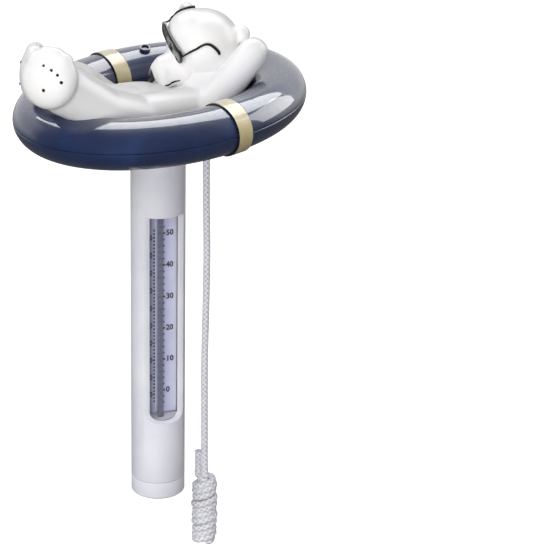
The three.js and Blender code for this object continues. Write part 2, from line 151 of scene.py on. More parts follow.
# %% [markdown]
# ## Helpers for meshes
#
# Most pieces here are turned shapes, so one helper spins a profile about the Z axis. Spinning a profile is
# what a lathe does, and it keeps the edge loops where a bevel wants them. Another helper rounds the sharp
# edges, because no moulded or painted edge is perfectly sharp, and a lit edge is what shows its roundness.
# The last turns the bmesh into an object, lets it ride on its body and says which nodes it stands for.

# %% Helpers for meshes
def lathe(profile, steps=128, closed=False):
    """Spins (radius, height) points in mm about Z. The ends lie on the axis, or closed joins them."""
    bm = bmesh.new()
    points = [bm.verts.new((radius * MM, 0, height * MM)) for radius, height in profile]
    pairs = list(zip(points, points[1:] + points[:1])) if closed else list(zip(points, points[1:]))
    edges = [bm.edges.new(pair) for pair in pairs]
    bmesh.ops.spin(bm, geom=points + edges, axis=(0, 0, 1), cent=(0, 0, 0), angle=2 * math.pi,
                   steps=steps, use_merge=True)
    bmesh.ops.remove_doubles(bm, verts=bm.verts, dist=1e-7)
    bmesh.ops.recalc_face_normals(bm, faces=bm.faces)
    return bm


def round_edges(bm, width_in_mm, over_degrees=35, segments=3):
    """Bevels every edge that turns by more than an angle."""
    limit = math.radians(over_degrees)
    sharp = [e for e in bm.edges if len(e.link_faces) == 2 and e.calc_face_angle(0) > limit]
    bmesh.ops.bevel(bm, geom=sharp, offset=width_in_mm * MM, offset_type="OFFSET", segments=segments,
                    profile=0.5, affect="EDGES", material=-1, clamp_overlap=True)
    return bm


def move(bm, matrix):
    bmesh.ops.transform(bm, matrix=matrix, verts=bm.verts)
    return bm


def to_mesh_object(name, bm):
    mesh = bpy.data.meshes.new(name)
    bm.to_mesh(mesh)
    bm.free()
    return mesh_object(name, mesh)


def settle(obj, finishes, body, nodes=(), flat_over=None):
    """Gives a piece its finishes, smooth shading, body and the nodes it stands for."""
    for finish in finishes:
        obj.data.materials.append(finish)
    obj.data.shade_smooth()
    if flat_over:
        obj.data.set_sharp_from_angle(angle=math.radians(flat_over))
    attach(obj, body)
    if nodes:
        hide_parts(*nodes)
    print(f"{obj.name}: {len(obj.data.polygons)} faces, {[round(d / MM, 1) for d in obj.dimensions]} mm")
    return obj


def curve_mesh(curve):
    """The mesh of a curve or a text, which is then dropped."""
    shape = bpy.data.objects.new(curve.name, curve)
    bpy.context.scene.collection.objects.link(shape)
    bpy.context.view_layer.update()
    mesh = bpy.data.meshes.new_from_object(shape.evaluated_get(bpy.context.evaluated_depsgraph_get()))
    bpy.data.objects.remove(shape)
    return mesh


def mesh_object(name, mesh):
    obj = bpy.data.objects.new(name, mesh)
    bpy.context.scene.collection.objects.link(obj)
    return obj


def join_mesh(whole, mesh):
    """Adds a mesh to a bmesh, and drops the mesh."""
    whole.from_mesh(mesh)
    bpy.data.meshes.remove(mesh)


def join_shape(whole, shape):
    """Adds one bmesh to another."""
    mesh = bpy.data.meshes.new("shape")
    shape.to_mesh(mesh)
    shape.free()
    join_mesh(whole, mesh)


def extruded(points, reach):
    """A prism: a flat outline of points in metres, extruded along a vector."""
    bm = bmesh.new()
    face = bm.faces.new([bm.verts.new(point) for point in points])
    made = bmesh.ops.extrude_face_region(bm, geom=[face])
    moved = [item for item in made["geom"] if isinstance(item, bmesh.types.BMVert)]
    bmesh.ops.translate(bm, verts=moved, vec=reach)
    bmesh.ops.recalc_face_normals(bm, faces=bm.faces)
    return bm


def slice_across(bm, place, way):
    """Cuts every face that crosses a plane, and keeps both sides."""
    everything = bm.verts[:] + bm.edges[:] + bm.faces[:]
    bmesh.ops.bisect_plane(bm, geom=everything, dist=1e-7, plane_co=place, plane_no=way)


def cut_with(obj, cutter):
    cut = obj.modifiers.new("cut", "BOOLEAN")
    cut.object = cutter
    cut.operation = "DIFFERENCE"
    cut.solver = "EXACT"


def final_mesh(obj):
    """Applies an object's modifiers and leaves it with plain mesh data."""
    graph = bpy.context.evaluated_depsgraph_get()
    mesh = bpy.data.meshes.new_from_object(obj.evaluated_get(graph))
    obj.modifiers.clear()
    obj.data = mesh
    mesh.name = obj.name
    return obj

# %% [markdown]
# ## The braided cord
#
# The cord is braided polyester, 2.8 mm thick, limp, and tied to an eye under the ring. It hangs to a hank:
# the spare length is laid up and down in three runs and the rest is wound round them, so that it can be let
# out when the thermometer is in use. It could be a plain tube with a bump, but the braid is coarse enough
# to show on its outline, so the plaits are real: the tube's surface rises and falls where the strands
# cross.
#
# The route comes first. The hanging stretch repeats the frame's own points, and a loop works out the wraps.

# %% Material: braided polyester
def braided_polyester(stitch_in_mm):
    """Soft white yarn: matt, with a little sheen, and painted shade that darkens it down between the strands.
    """
    material, tree, shader, place = new_material(
        "braided_white_polyester",
        {"Roughness": 0.75, "Sheen Weight": 0.25, "Sheen Roughness": 0.4, "Subsurface Weight": 0.08,
         "Subsurface Scale": 0.6 * MM})
    depth = add_node(tree, "Attribute", attribute_name="plait").outputs["Fac"]
    yarn = add_node(tree, "TexNoise", {"Vector": place, "Scale": per_metre(stitch_in_mm / 3), **SOFT_PATCHES})
    soiled = add_node(tree, "TexNoise", {"Vector": place, "Scale": per_metre(9), **SOFT_PATCHES})
    # Painted shade: the colour darkens where the plait's surface sinks between the strands.
    painted_strand_shade = add_node(tree, "ValToRGB", {"Fac": depth}, [(0.15, "c8c8d2"), (0.45, "eeeef2"), (0.7, "fdfdfe")])
    tint = add_node(tree, "ValToRGB", {"Fac": soiled}, [(0.3, "f4f2f0"), (0.7, "e6e5f0")])
    mixed = add_node(tree, "Mix", {"Factor": 0.55, "A": painted_strand_shade, "B": tint}, data_type="RGBA",
                     blend_type="MULTIPLY")
    wire(tree, shader, {"Base Color": mixed.outputs["Result"],
                        "Normal": add_node(tree, "Bump", {"Height": yarn, "Distance": 0.08 * MM})})
    return material


# %% The cord's route
CORD_RADIUS = 1.4
BRAID_FLUFF = 0.15  # the yarn stands a little proud of the cord's gauge
CORD_X = 26.5
EYE_BOW_TOP = -16.1  # where the cord passes over the eye
HANK_TOP, HANK_BOTTOM = -185, -220.5
HANK_TURN = math.radians(-36)
TAIL_TOP = -172.5
RUN_OFFSET = 1.6  # of the three inner runs from the hank's middle
WRAP_RADII = (4.5, 3.9)
WRAPS = 10.5
POINTS_PER_WRAP = 16
WRAP_START = math.radians(300)
WRAPS_LOW, WRAPS_HIGH = HANK_BOTTOM + 0.9, HANK_TOP - 1.9
WRAP_SLOPE, END_TAPER = 0.9, 0.25  # how a wrap leans, and how much the hank narrows at its ends

eye_bow = [(25.7, 0, -22.6), (23.7, 0, -20.4), (23.3, 0, -18.2), (24.4, 0, -16.6), (CORD_X, 0, EYE_BOW_TOP),
           (28.6, 0, -16.6), (29.7, 0, -18.2), (29.3, 0, -20.4), (27.3, 0, -22.8)]
hanging = [(26.5, 0, -26.4), (26.5, 0, -50), (27.0, 0, -75), (26.7, 0, -100), (26.1, 0, -130),
           (26.3, 0, -160), (26.5, 0, -181)]


def in_hank(across, deep, height):
    """A point given in the hank's own frame, turned to the way the hank faces."""
    x = CORD_X + across * math.cos(HANK_TURN) - deep * math.sin(HANK_TURN)
    y = across * math.sin(HANK_TURN) + deep * math.cos(HANK_TURN)
    return (x, y, height)


def inner_runs():
    """Down, up and down again, with a fold at each end."""
    places = [(RUN_OFFSET * math.cos(a), RUN_OFFSET * math.sin(a)) for a in map(math.radians, (60, 180, 300))]
    high, low = HANK_TOP - 4, HANK_BOTTOM + 4.5
    points = []
    for number, (across, deep) in enumerate(places):
        ends = (high, low) if number % 2 == 0 else (low, high)
        points += [in_hank(across, deep, ends[0] + (ends[1] - ends[0]) * step / 3) for step in range(4)]
        if number < 2:
            after = places[number + 1]
            beyond = ends[1] + (-1.6 if number % 2 == 0 else 1.6)
            points.append(in_hank((across + after[0]) / 2, (deep + after[1]) / 2, beyond))
    return points


def wraps():
    """The winding, from the bottom of the hank to its top, a little uneven as it is made by hand."""
    points = []
    steps = round(WRAPS * POINTS_PER_WRAP)
    for step in range(steps + 1):
        part = step / steps
        angle = WRAP_START + 2 * math.pi * WRAPS * part
        ends = 1 - END_TAPER * (2 * abs(part - 0.5)) ** 8
        uneven = 1 + 0.06 * math.sin(7 * part * math.pi) + 0.03 * math.sin(31 * part + 1)
        across = WRAP_RADII[0] * ends * uneven * math.cos(angle)
        deep = WRAP_RADII[1] * ends * uneven * math.sin(angle)
        lean = WRAP_SLOPE * math.cos(angle) + 0.35 * math.sin(5.3 * part * math.pi + 1)
        points.append(in_hank(across, deep, WRAPS_LOW + (WRAPS_HIGH - WRAPS_LOW) * part + lean))
    return points


tail = [in_hank(-3.1, -0.6, HANK_TOP + 0.6), in_hank(-2.9, -0.2, HANK_TOP + 4), in_hank(-2.8, 0, TAIL_TOP)]
route = eye_bow + hanging + inner_runs() + wraps() + tail
print("route points", len(route))


# %% A smooth path and the plaits on it
def equal_steps(points, step_in_mm):
    places, travelled, following = [points[0]], 0.0, step_in_mm
    for a, b in zip(points, points[1:]):
        stretch = (b - a).length
        while travelled + stretch >= following:
            places.append(a.lerp(b, (following - travelled) / stretch))
            following += step_in_mm
        travelled += stretch
    return places, travelled


SOFTENING = 14  # passes that ease the folds


def smooth_path(points, step_in_mm):
    """Eases a Catmull-Rom curve through the points. Returns places on it at equal steps, and its length."""
    knots = [Vector(p) for p in points]
    knots = [2 * knots[0] - knots[1]] + knots + [2 * knots[-1] - knots[-2]]
    dense = []
    for a, b, c, d in zip(knots, knots[1:], knots[2:], knots[3:]):
        for i in range(24):
            t = i / 24
            dense.append(0.5 * (2 * b + (c - a) * t + (2 * a - 5 * b + 4 * c - d) * t * t
                                + (3 * b - a - 3 * c + d) * t ** 3))
    dense.append(knots[-2])
    places, _ = equal_steps(dense, step_in_mm)
    for _ in range(SOFTENING):
        eased = [(a + 2 * b + c) / 4 for a, b, c in zip(places, places[1:], places[2:])]
        places = [places[0]] + eased + [places[-1]]
    return equal_steps(places, step_in_mm)


SIDES = 24  # round the cord, 6 for each plait
PLAITS_ROUND = 4
STITCH = 2.3  # along the cord, from one plait to the next
PLAIT_DEPTH = 0.36


def braided_tube(name, places, step_in_mm, radius):
    """A tube along the places whose surface rises at each plait. It keeps the rise in the attribute plait."""
    curve = bpy.data.curves.new(name, "CURVE")
    curve.dimensions = "3D"
    spline = curve.splines.new("POLY")
    spline.points.add(len(places) - 1)
    for point, place in zip(spline.points, places):
        point.co = (*(place * MM), 1)
    curve.bevel_depth = (radius + BRAID_FLUFF) * MM
    curve.bevel_resolution = SIDES // 2 - 2
    curve.use_fill_caps = True
    mesh = curve_mesh(curve)
    round_count = len(mesh.vertices) // len(places)
    plait = mesh.attributes.new("plait", "FLOAT", "POINT")
    heights = []
    for number, vertex in enumerate(mesh.vertices):
        row, column = divmod(number, round_count)
        middle = places[min(row, len(places) - 1)] * MM
        along = 2 * math.pi * min(row, len(places) - 1) * step_in_mm / STITCH
        height = 0.5 + 0.5 * math.cos(PLAITS_ROUND * 2 * math.pi * column / round_count) * math.cos(along)
        outward = (vertex.co - middle).normalized()
        vertex.co += outward * (height - 0.5) * PLAIT_DEPTH * MM
        heights.append(height)
    plait.data.foreach_set("value", heights)
    return mesh_object(name, mesh)


CORD_STEP = 0.34
cord_places, cord_length = smooth_path(route, CORD_STEP)
polyester = braided_polyester(STITCH)
cord = braided_tube("braided_cord", cord_places, CORD_STEP, CORD_RADIUS)
settle(cord, [polyester], "cord_set", ["cord", "cord_hank", "cord_tail"])
print("cord length in mm", round(cord_length, 1))

# %% [markdown]
# The knot under the eye is two turns of the same cord pulled tight, so it is made by the same helper.

# %% The knot
KNOT_Z, KNOT_HIGH, KNOT_RADIUS = -22.9, 3.0, 2.0
KNOT_TURNS, KNOT_STEPS = 2, 32
KNOT_UNEVEN = 0.15
PULLED_THIN = 0.9  # of the cord's own thickness
knot_points = []
for step in range(KNOT_STEPS + 1):
    part = step / KNOT_STEPS
    angle = 2 * math.pi * KNOT_TURNS * part
    reach = KNOT_RADIUS + KNOT_UNEVEN * math.sin(3 * angle)
    height = KNOT_Z + KNOT_HIGH * (0.5 - part)
    knot_points.append((CORD_X + reach * math.cos(angle), reach * math.sin(angle), height))
knot_places, _ = smooth_path(knot_points, CORD_STEP)
knot = braided_tube("cord_knot_turns", knot_places, CORD_STEP, CORD_RADIUS * PULLED_THIN)
settle(knot, [polyester], "cord_set", ["cord_knot"])

# %% [markdown]
# ## The swim ring
#
# The ring is a hollow resin moulding in two halves, joined at its widest part, painted navy and lacquered.
# It is an oval of constant thickness, so it can't be a round ring that was scaled: its section would be
# squashed at the sides. Here the section is spun into a large round ring, and each point is then carried
# over to the oval, which keeps its distance from the centreline.

# %% The ring's shape
RING_HALF_LENGTH, RING_HALF_BREADTH = 55, 43  # of the oval centreline
RING_THICK, RING_HIGH = 12.3, 10.75  # half sizes of the section
RING_WALL = 1.6
RING_TILT = math.radians(3.3)  # the head end floats higher
RING_OFFSET = 1.5
ROUND_RING = 100
PARTING = 0.05  # half the width of the parting line

ring_place = Matrix.Translation((RING_OFFSET * MM, 0, 0)) @ Matrix.Rotation(-RING_TILT, 4, "Y")


def on_oval(angle, out, up):
    """The point at an angle round the oval, some way out from its centreline, in metres."""
    across = Vector((math.cos(angle) / RING_HALF_LENGTH, math.sin(angle) / RING_HALF_BREADTH, 0)).normalized()
    middle = Vector((RING_HALF_LENGTH * math.cos(angle), RING_HALF_BREADTH * math.sin(angle), 0))
    return (middle + across * out + Vector((0, 0, up))) * MM


def bend_to_oval(bm):
    for vertex in bm.verts:
        angle = math.atan2(vertex.co.y, vertex.co.x)
        out = math.hypot(vertex.co.x, vertex.co.y) / MM - ROUND_RING
        vertex.co = on_oval(angle, out, vertex.co.z / MM)
    return move(bm, ring_place)


def section_arc(first, last, steps, grow=0.0):
    """Points of the ring's section between two angles in degrees, as (out, up)."""
    angles = [math.radians(first + (last - first) * i / steps) for i in range(steps + 1)]
    return [((RING_THICK + grow) * math.cos(a), (RING_HIGH + grow) * math.sin(a)) for a in angles]


def ring_half(name, side, node):
    outer = section_arc(0, 180 * side, 36)
    inner = section_arc(180 * side, 0, 24, -RING_WALL)
    for line in (outer, inner):
        for end in (0, -1):
            line[end] = (line[end][0], PARTING * side)
    profile = [(ROUND_RING + out, up) for out, up in outer + inner]
    bm = round_edges(lathe(profile, 200, closed=True), 0.28, over_degrees=50)
    return settle(to_mesh_object(name, bend_to_oval(bm)), [navy], "float", [node])


# %% [markdown]
# Lacquered paint over resin is a clear, sharp gloss on a deep colour. By hand-painting the colour is never
# even: it is a little paler where the brush ran thin. The lacquer is the shader's coat, and the slight
# waviness under it bends the reflections, which is what tells it from a computer's perfect surface.

# %% Material: navy lacquer
def navy_lacquer():
    """A deep blue under a hard clear gloss, a little uneven, so that it reads as brushed by hand."""
    material, tree, shader, place = new_material(
        "navy_lacquer_on_resin",
        {"Roughness": 0.45, "Coat Weight": 1.0, "Coat Roughness": 0.06, "Coat IOR": 1.6},
        16, [(0.25, "0f1d40"), (0.55, "13254c"), (0.8, "1c325e")])
    grain = add_node(tree, "TexNoise", {"Vector": place, "Scale": per_metre(1.6), **SOFT_PATCHES})
    gloss = add_node(tree, "MapRange", {"Value": grain, "From Min": 0.3, "From Max": 0.7, "To Min": 0.38,
                                        "To Max": 0.55})
    swell = add_node(tree, "TexNoise", {"Vector": place, "Scale": per_metre(9), **SOFT_PATCHES, "Detail": 1})
    waves = add_node(tree, "Bump", {"Height": swell, "Distance": 0.1 * MM, "Strength": 0.6})
    wire(tree, shader, {"Roughness": gloss, "Normal": waves, "Coat Normal": waves})
    return material


navy = navy_lacquer()
ring_half("ring_upper_half", 1, "ring_upper_shell")
ring_half("ring_lower_half", -1, "ring_lower_shell")

# %% [markdown]
# The two bands are raised strips of the moulding, painted cream, with a fine black line along each edge as
# painted shade where the band steps up from the ring. A strip is one section face, extruded along the ring and
# cut by two planes near its edges, so that the lines are faces of their own and not part of a picture.

# %% Material: cream enamel, and black enamel for marks and painted edge shade
def cream_enamel():
    """Painted light from above, and thicker enamel on top: paler on top and browner down the sides, by height.
    """
    material, tree, shader, place = new_material(
        "cream_enamel", {"Roughness": 0.3, "Coat Weight": 0.6, "Coat Roughness": 0.1})
    height = add_node(tree, "SeparateXYZ", {"Vector": place}).outputs["Z"]
    # Painted light and shade: the cream is paler towards the top and browner towards the bottom, by height
    # alone.
    rise = add_node(tree, "MapRange", {"Value": height, "From Min": -9 * MM, "From Max": 12 * MM})
    streaks = add_node(tree, "TexNoise", {"Vector": place, "Scale": per_metre(5), **SOFT_PATCHES})
    paint = add_node(tree, "ValToRGB", {"Fac": rise}, [(0.0, "b4a77c"), (0.55, "cfc29a"), (1.0, "f3ecd0")])
    thin = add_node(tree, "ValToRGB", {"Fac": streaks}, [(0.3, "ffffff"), (0.75, "e8dcb8")])
    mixed = add_node(tree, "Mix", {"Factor": 0.6, "A": paint, "B": thin}, data_type="RGBA",
                     blend_type="MULTIPLY")
    wire(tree, shader, {"Base Color": mixed.outputs["Result"], "Normal": add_node(
        tree, "Bump", {"Height": streaks, "Distance": 0.05 * MM, "Strength": 0.5})})
    return material


def black_enamel():
    """Near black with a wet gloss, so that a small mark still shows one bright point of light."""
    material, tree, shader, place = new_material(
        "black_gloss_enamel", {"Roughness": 0.18, "Coat Weight": 0.5, "Coat Roughness": 0.05},
        4, [(0.3, "0c0c0e"), (0.8, "1c1c20")])
    swell = add_node(tree, "TexNoise", {"Vector": place, "Scale": per_metre(2), **SOFT_PATCHES})
    wire(tree, shader, {"Normal": add_node(
        tree, "Bump", {"Height": swell, "Distance": 0.03 * MM, "Strength": 0.5})})
    return material


cream = cream_enamel()
black = black_enamel()

# %% Bands
BAND_X = 3
BAND_WIDTH = 8
BAND_THICK, BAND_SUNK = 0.5, 0.1  # out of the ring's skin and into it
BAND_PROUD = 0.3  # what the rounded edges need on top
# The width of the black strip of painted shade along each band edge.
BAND_EDGE_SHADE = 0.42
BAND_ARC, BAND_STEPS = (-80, 200), 56  # degrees round the section


def ring_band(name, side, node):
    angle = side * math.acos(BAND_X / RING_HALF_LENGTH)
    across = (on_oval(angle, 1, 0) - on_oval(angle, 0, 0)).normalized()
    up = Vector((0, 0, 1))
    basis = Matrix((across, up, across.cross(up))).transposed().to_4x4()
    basis.translation = on_oval(angle, 0, 0)
    outline = section_arc(*BAND_ARC, BAND_STEPS, BAND_THICK + BAND_PROUD)
    outline += section_arc(*reversed(BAND_ARC), BAND_STEPS, -BAND_SUNK)
    points = [(x * MM, y * MM, -BAND_WIDTH / 2 * MM) for x, y in outline]
    bm = round_edges(extruded(points, (0, 0, BAND_WIDTH * MM)), 0.3, over_degrees=60)
    edge = (BAND_WIDTH / 2 - BAND_EDGE_SHADE) * MM
    for height in (-edge, edge):
        slice_across(bm, (0, 0, height), (0, 0, 1))
    # Black strips along both edges: painted shade where the band steps up from the ring.
    for face in bm.faces:
        face.material_index = int(abs(face.calc_center_median().z) > edge)
    bmesh.ops.triangulate(bm, faces=[f for f in bm.faces if len(f.verts) > 4])
    move(bm, ring_place @ basis)
    return settle(to_mesh_object(name, bm), [cream, black], "float", [node], flat_over=40)


ring_band("near_cream_band", -1, "left_band")
ring_band("far_cream_band", 1, "right_band")

# %% [markdown]
# The valve is a small turned stopper in a raised rim. The flap beside it is a flat teardrop with a grey
# oval inlay, lying on the ring's far side near the feet.

# %% Valve and flap
VALVE_X, VALVE_IN = 19.6, 3.7
VALVE_RADIUS = 2.5
FLAP_X, FLAP_IN = -32, 1.5
FLAP_LENGTH, FLAP_RADIUS, FLAP_THICK = 15, 4.5, 1.3
FLAP_TURN = math.radians(205)
FLAP_NARROWING = 0.55  # towards the point
FLAP_SUNK = 1.4
FLAP_BORDER = 1.5
FLAP_BOW = 0.035  # per mm squared, to lie on the round ring


def on_crest(x, inward):
    """The frame of a spot on the ring's top: Z out of the paint, X along the ring's outward direction."""
    angle = math.acos(x / RING_HALF_LENGTH)
    lean = math.asin(inward / RING_THICK)
    outward = (on_oval(angle, 1, 0) - on_oval(angle, 0, 0)).normalized()
    normal = (Vector((0, 0, math.cos(lean))) - outward * math.sin(lean)).normalized()
    along = normal.cross(outward).normalized()
    basis = Matrix((along.cross(normal), along, normal)).transposed().to_4x4()
    basis.translation = on_oval(angle, -inward, RING_HIGH * math.cos(lean))
    return ring_place @ basis


def valve():
    rim = VALVE_RADIUS
    profile = [(0, -1.2), (rim, -1.2), (rim, 1.1), (rim - 0.3, 1.5), (rim - 0.75, 1.5), (rim - 0.95, 1.1),
               (rim - 0.95, 0.5), (0, 0.35)]
    bm = round_edges(lathe(profile, 48), 0.12)
    # The stopper's top inside the rim is black: painted shade for the valve's dark recess.
    for face in bm.faces:
        middle = face.calc_center_median()
        inside = math.hypot(middle.x, middle.y) < (rim - 0.9) * MM
        face.material_index = int(inside and middle.z > 0)
    move(bm, on_crest(VALVE_X, VALVE_IN))
    return settle(to_mesh_object("valve_stopper", bm), [navy, black], "float", ["valve_boss"])


def flap():
    bm = bmesh.new()
    bmesh.ops.create_circle(bm, cap_ends=True, segments=48, radius=FLAP_RADIUS * MM)
    for vertex in bm.verts:
        if vertex.co.x > 0:
            part = vertex.co.x / (FLAP_RADIUS * MM)
            vertex.co.x *= 1 + (FLAP_LENGTH / FLAP_RADIUS - 2) * part
            vertex.co.y *= 1 - FLAP_NARROWING * part ** 2
    bmesh.ops.solidify(bm, geom=bm.faces[:], thickness=(FLAP_THICK + FLAP_SUNK) * MM)
    bmesh.ops.recalc_face_normals(bm, faces=bm.faces)
    top_height = max(v.co.z for v in bm.verts)
    bmesh.ops.translate(bm, verts=bm.verts, vec=(0, 0, FLAP_THICK * MM - top_height))
    round_edges(bm, 0.35, over_degrees=50)
    top = max(bm.faces, key=lambda f: f.calc_center_median().z + f.calc_area())
    bmesh.ops.inset_region(bm, faces=[top], thickness=FLAP_BORDER * MM, depth=0)
    top.material_index = 1
    bmesh.ops.inset_region(bm, faces=[top], thickness=0.25 * MM, depth=-0.25 * MM)
    for vertex in bm.verts:
        vertex.co.z -= FLAP_BOW * (vertex.co.y / MM) ** 2 * MM
    move(bm, on_crest(FLAP_X, FLAP_IN) @ Matrix.Rotation(FLAP_TURN, 4, "Z"))
    return settle(to_mesh_object("teardrop_flap", bm), [cream, grey], "float", ["valve_flap"],
                  flat_over=40)


def grey_enamel():
    """A half-gloss grey that tells the inlay from the cream round it."""
    return new_material("grey_enamel", {"Roughness": 0.35, "Coat Weight": 0.4, "Coat Roughness": 0.12},
                        4, [(0.3, "7d8087"), (0.8, "9a9da4")])[0]


grey = grey_enamel()
valve()
flap()

# %% [markdown]
# The ring's floor is an oval pan that closes the middle and carries the thermometer's socket. It is turned
# as a round disc and carried over to the oval's outline by one scale.

# %% Float pan
PAN_Z, PAN_THICK = -10.6, 2
ROUND_PAN = 50  # its radius before it is carried over to the oval
PAN_SHORT = 6  # how far it stops short of the ring's centreline
PAN_BORE, PAN_SKIN = 12.9, 0.9  # the hollow for the socket, and what closes it above
BOSS_RADIUS, BOSS_DEPTH = 19, 4


def float_pan():
    boss = BOSS_RADIUS * MM
    low, top, under = PAN_Z, PAN_Z + PAN_THICK, PAN_Z - BOSS_DEPTH
    profile = [(PAN_BORE, under), (BOSS_RADIUS - 1, under), (BOSS_RADIUS, under + 0.6),
               (BOSS_RADIUS + 1, low), (ROUND_PAN, low), (ROUND_PAN, top), (0, top),
               (0, top - PAN_SKIN), (PAN_BORE, top - PAN_SKIN)]
    bm = round_edges(lathe(profile, 160, closed=True), 0.3)
    for vertex in bm.verts:
        reach = math.hypot(vertex.co.x, vertex.co.y)
        if reach > boss + 2 * MM:
            part = (reach - boss) / (ROUND_PAN * MM - boss)
            vertex.co.x *= 1 + part * ((RING_HALF_LENGTH - PAN_SHORT) / ROUND_PAN - 1)
            vertex.co.y *= 1 + part * ((RING_HALF_BREADTH - PAN_SHORT) / ROUND_PAN - 1)
    move(bm, Matrix.Rotation(-RING_TILT, 4, "Y"))
    return settle(to_mesh_object("ring_floor", bm), [navy], "float", ["float_pan"],
                  flat_over=35)


float_pan()

# %% [markdown]
# ## The bear
#
# The bear is one soft moulding, with no edge on it anywhere. It could be sculpted by subdividing one box,
# but a body made of round masses is quicker to place and to correct: balls for the head, torso and feet,
# and tapered limbs between them. A voxel remesh welds the masses into one skin, and smoothing then fills
# the creases, as plaster fills the corners of an armature. Small forms such as the ears' hollows are
# pressed in afterwards, because the smoothing would rub them out.

# %% Round masses
def ball(centre, radii, lean=0.0, turn=0.0):
    bm = bmesh.new()
    bmesh.ops.create_icosphere(bm, subdivisions=4, radius=1)
    place = Matrix.Translation(Vector(centre) * MM) @ Matrix.Rotation(turn, 4, "Z")
    place = place @ Matrix.Rotation(lean, 4, "Y") @ Matrix.Diagonal((*(r * MM for r in radii), 1))
    return move(bm, place)


def limb(start, end, start_radius, end_radius):
    """A tapered limb with a round end at each joint."""
    along = Vector(end) - Vector(start)
    length = along.length
    arc = [math.radians(a) for a in range(-90, 1, 15)]
    low = [(start_radius * math.cos(a), start_radius * math.sin(a)) for a in arc]
    high = [(end_radius * math.cos(a), length - end_radius * math.sin(a)) for a in reversed(arc)]
    low[0], high[-1] = (0, low[0][1]), (0, high[-1][1])
    bm = lathe(low + high, 40)
    turn = Vector((0, 0, 1)).rotation_difference(along).to_matrix().to_4x4()
    return move(bm, Matrix.Translation(Vector(start) * MM) @ turn)


def weld(name, masses, voxel_in_mm, smoothing):
    """Joins the masses, remeshes them as one skin and smooths it."""
    whole = bmesh.new()
    for mass in masses:
        join_shape(whole, mass)
    obj = to_mesh_object(name, whole)
    remesh = obj.modifiers.new("one_skin", "REMESH")
    remesh.mode = "VOXEL"
    remesh.voxel_size = voxel_in_mm * MM
    smooth = obj.modifiers.new("fill_creases", "SMOOTH")
    smooth.factor = 0.5
    smooth.iterations = smoothing
    return final_mesh(obj)


def press(obj, centre, direction, radius, depth):
    """Presses a soft hollow into the skin, or raises it if the depth is negative."""
    middle, way = Vector(centre) * MM, Vector(direction).normalized()
    for vertex in obj.data.vertices:
        away = (vertex.co - middle).length / (radius * MM)
        if away < 1:
            vertex.co += way * depth * MM * (1 - away * away) ** 2


# %% [markdown]
# The skin is white gloss paint. White paint shows its shape by faint tints: a little warm where it faces
# other white parts, and a soft speckle in its gloss.

# %% Material: white gloss paint
def white_gloss_paint():
    """White with a soft gloss and a little depth, faintly warm in some patches and cool in others."""
    material, tree, shader, place = new_material(
        "white_gloss_paint_on_resin",
        {"Roughness": 0.42, "Coat Weight": 0.2, "Coat Roughness": 0.2, "Subsurface Weight": 0.06,
         "Subsurface Scale": 1.2 * MM, "Subsurface Radius": (1.0, 0.85, 0.7)},
        22, [(0.3, "f1efec"), (0.5, "efeeee"), (0.75, "ececf0")])
    speckle = add_node(tree, "TexNoise", {"Vector": place, "Scale": per_metre(1.2), **SOFT_PATCHES})
    gloss = add_node(tree, "MapRange", {"Value": speckle, "From Min": 0.3, "From Max": 0.7, "To Min": 0.38,
                                        "To Max": 0.5})
    swell = add_node(tree, "TexNoise", {"Vector": place, "Scale": per_metre(5), **SOFT_PATCHES, "Detail": 2})
    wire(tree, shader, {"Roughness": gloss, "Normal": add_node(
        tree, "Bump", {"Height": swell, "Distance": 0.06 * MM, "Strength": 0.5})})
    return material


white_paint = white_gloss_paint()

# %% Torso, legs and feet
HIP_RADIUS, KNEE_RADIUS, ANKLE_RADIUS = 9, 10, 11.2
SOLE_RADII = (7, 12.3, 12.8)
TOE_RADII = (4.2, 3.9, 4.2)
TOES, FIRST_TOE, TOE_GAP = 4, 38, 25.5  # the angles are in degrees, from straight up
TOE_ACROSS, TOE_UP = 9.4, 9.6
SOLE_SPLAY = 0.6
FEET = {
    -1: {"hip": (-16, -13, 0), "knee": (-37, -12.2, 7.5), "ankle": (-54.5, -9.4, 19.5),
         "foot": (-63.4, -11.2, 26.2), "lean": 0.28},
    1: {"hip": (-19, 12, 0.5), "knee": (-34, 12, 11.5), "ankle": (-46, 12, 15),
        "foot": (-54.8, 12, 20.6), "lean": 0.04},
}


def foot_frame(side):
    """The frame of a foot: X through the sole towards the leg, Y across it and Z up to the toes."""
    foot = FEET[side]
    place = Matrix.Translation(Vector(foot["foot"]) * MM) @ Matrix.Rotation(-side * SOLE_SPLAY, 4, "Z")
    return place @ Matrix.Rotation(foot["lean"], 4, "Y")


def leg(side):
    foot = FEET[side]
    masses = [
        limb(foot["hip"], foot["knee"], HIP_RADIUS, KNEE_RADIUS),
        limb(foot["knee"], foot["ankle"], KNEE_RADIUS, ANKLE_RADIUS),
        ball(foot["foot"], SOLE_RADII, foot["lean"], -side * SOLE_SPLAY),
    ]
    frame_here = foot_frame(side)
    for number in range(TOES):
        angle = math.radians(FIRST_TOE - TOE_GAP * number)
        toe = frame_here @ (Vector((-0.5, TOE_ACROSS * math.sin(angle), TOE_UP * math.cos(angle))) * MM)
        masses.append(ball([c / MM for c in toe], TOE_RADII))
    return masses


NEAR_ARM = ((13, -21, 2.5), (35, -21.5, 22.5), (38, -9, 15))
FAR_ARM = ((18, 18, -1), (37, 17, 11), (38, 7, 14))
SHOULDER_RADIUS, ELBOW_RADIUS, HAND_RADIUS = 8, 6.6, 5.5


def arm(shoulder, elbow, hand):
    return [limb(shoulder, elbow, SHOULDER_RADIUS, ELBOW_RADIUS), limb(elbow, hand, ELBOW_RADIUS, HAND_RADIUS)]


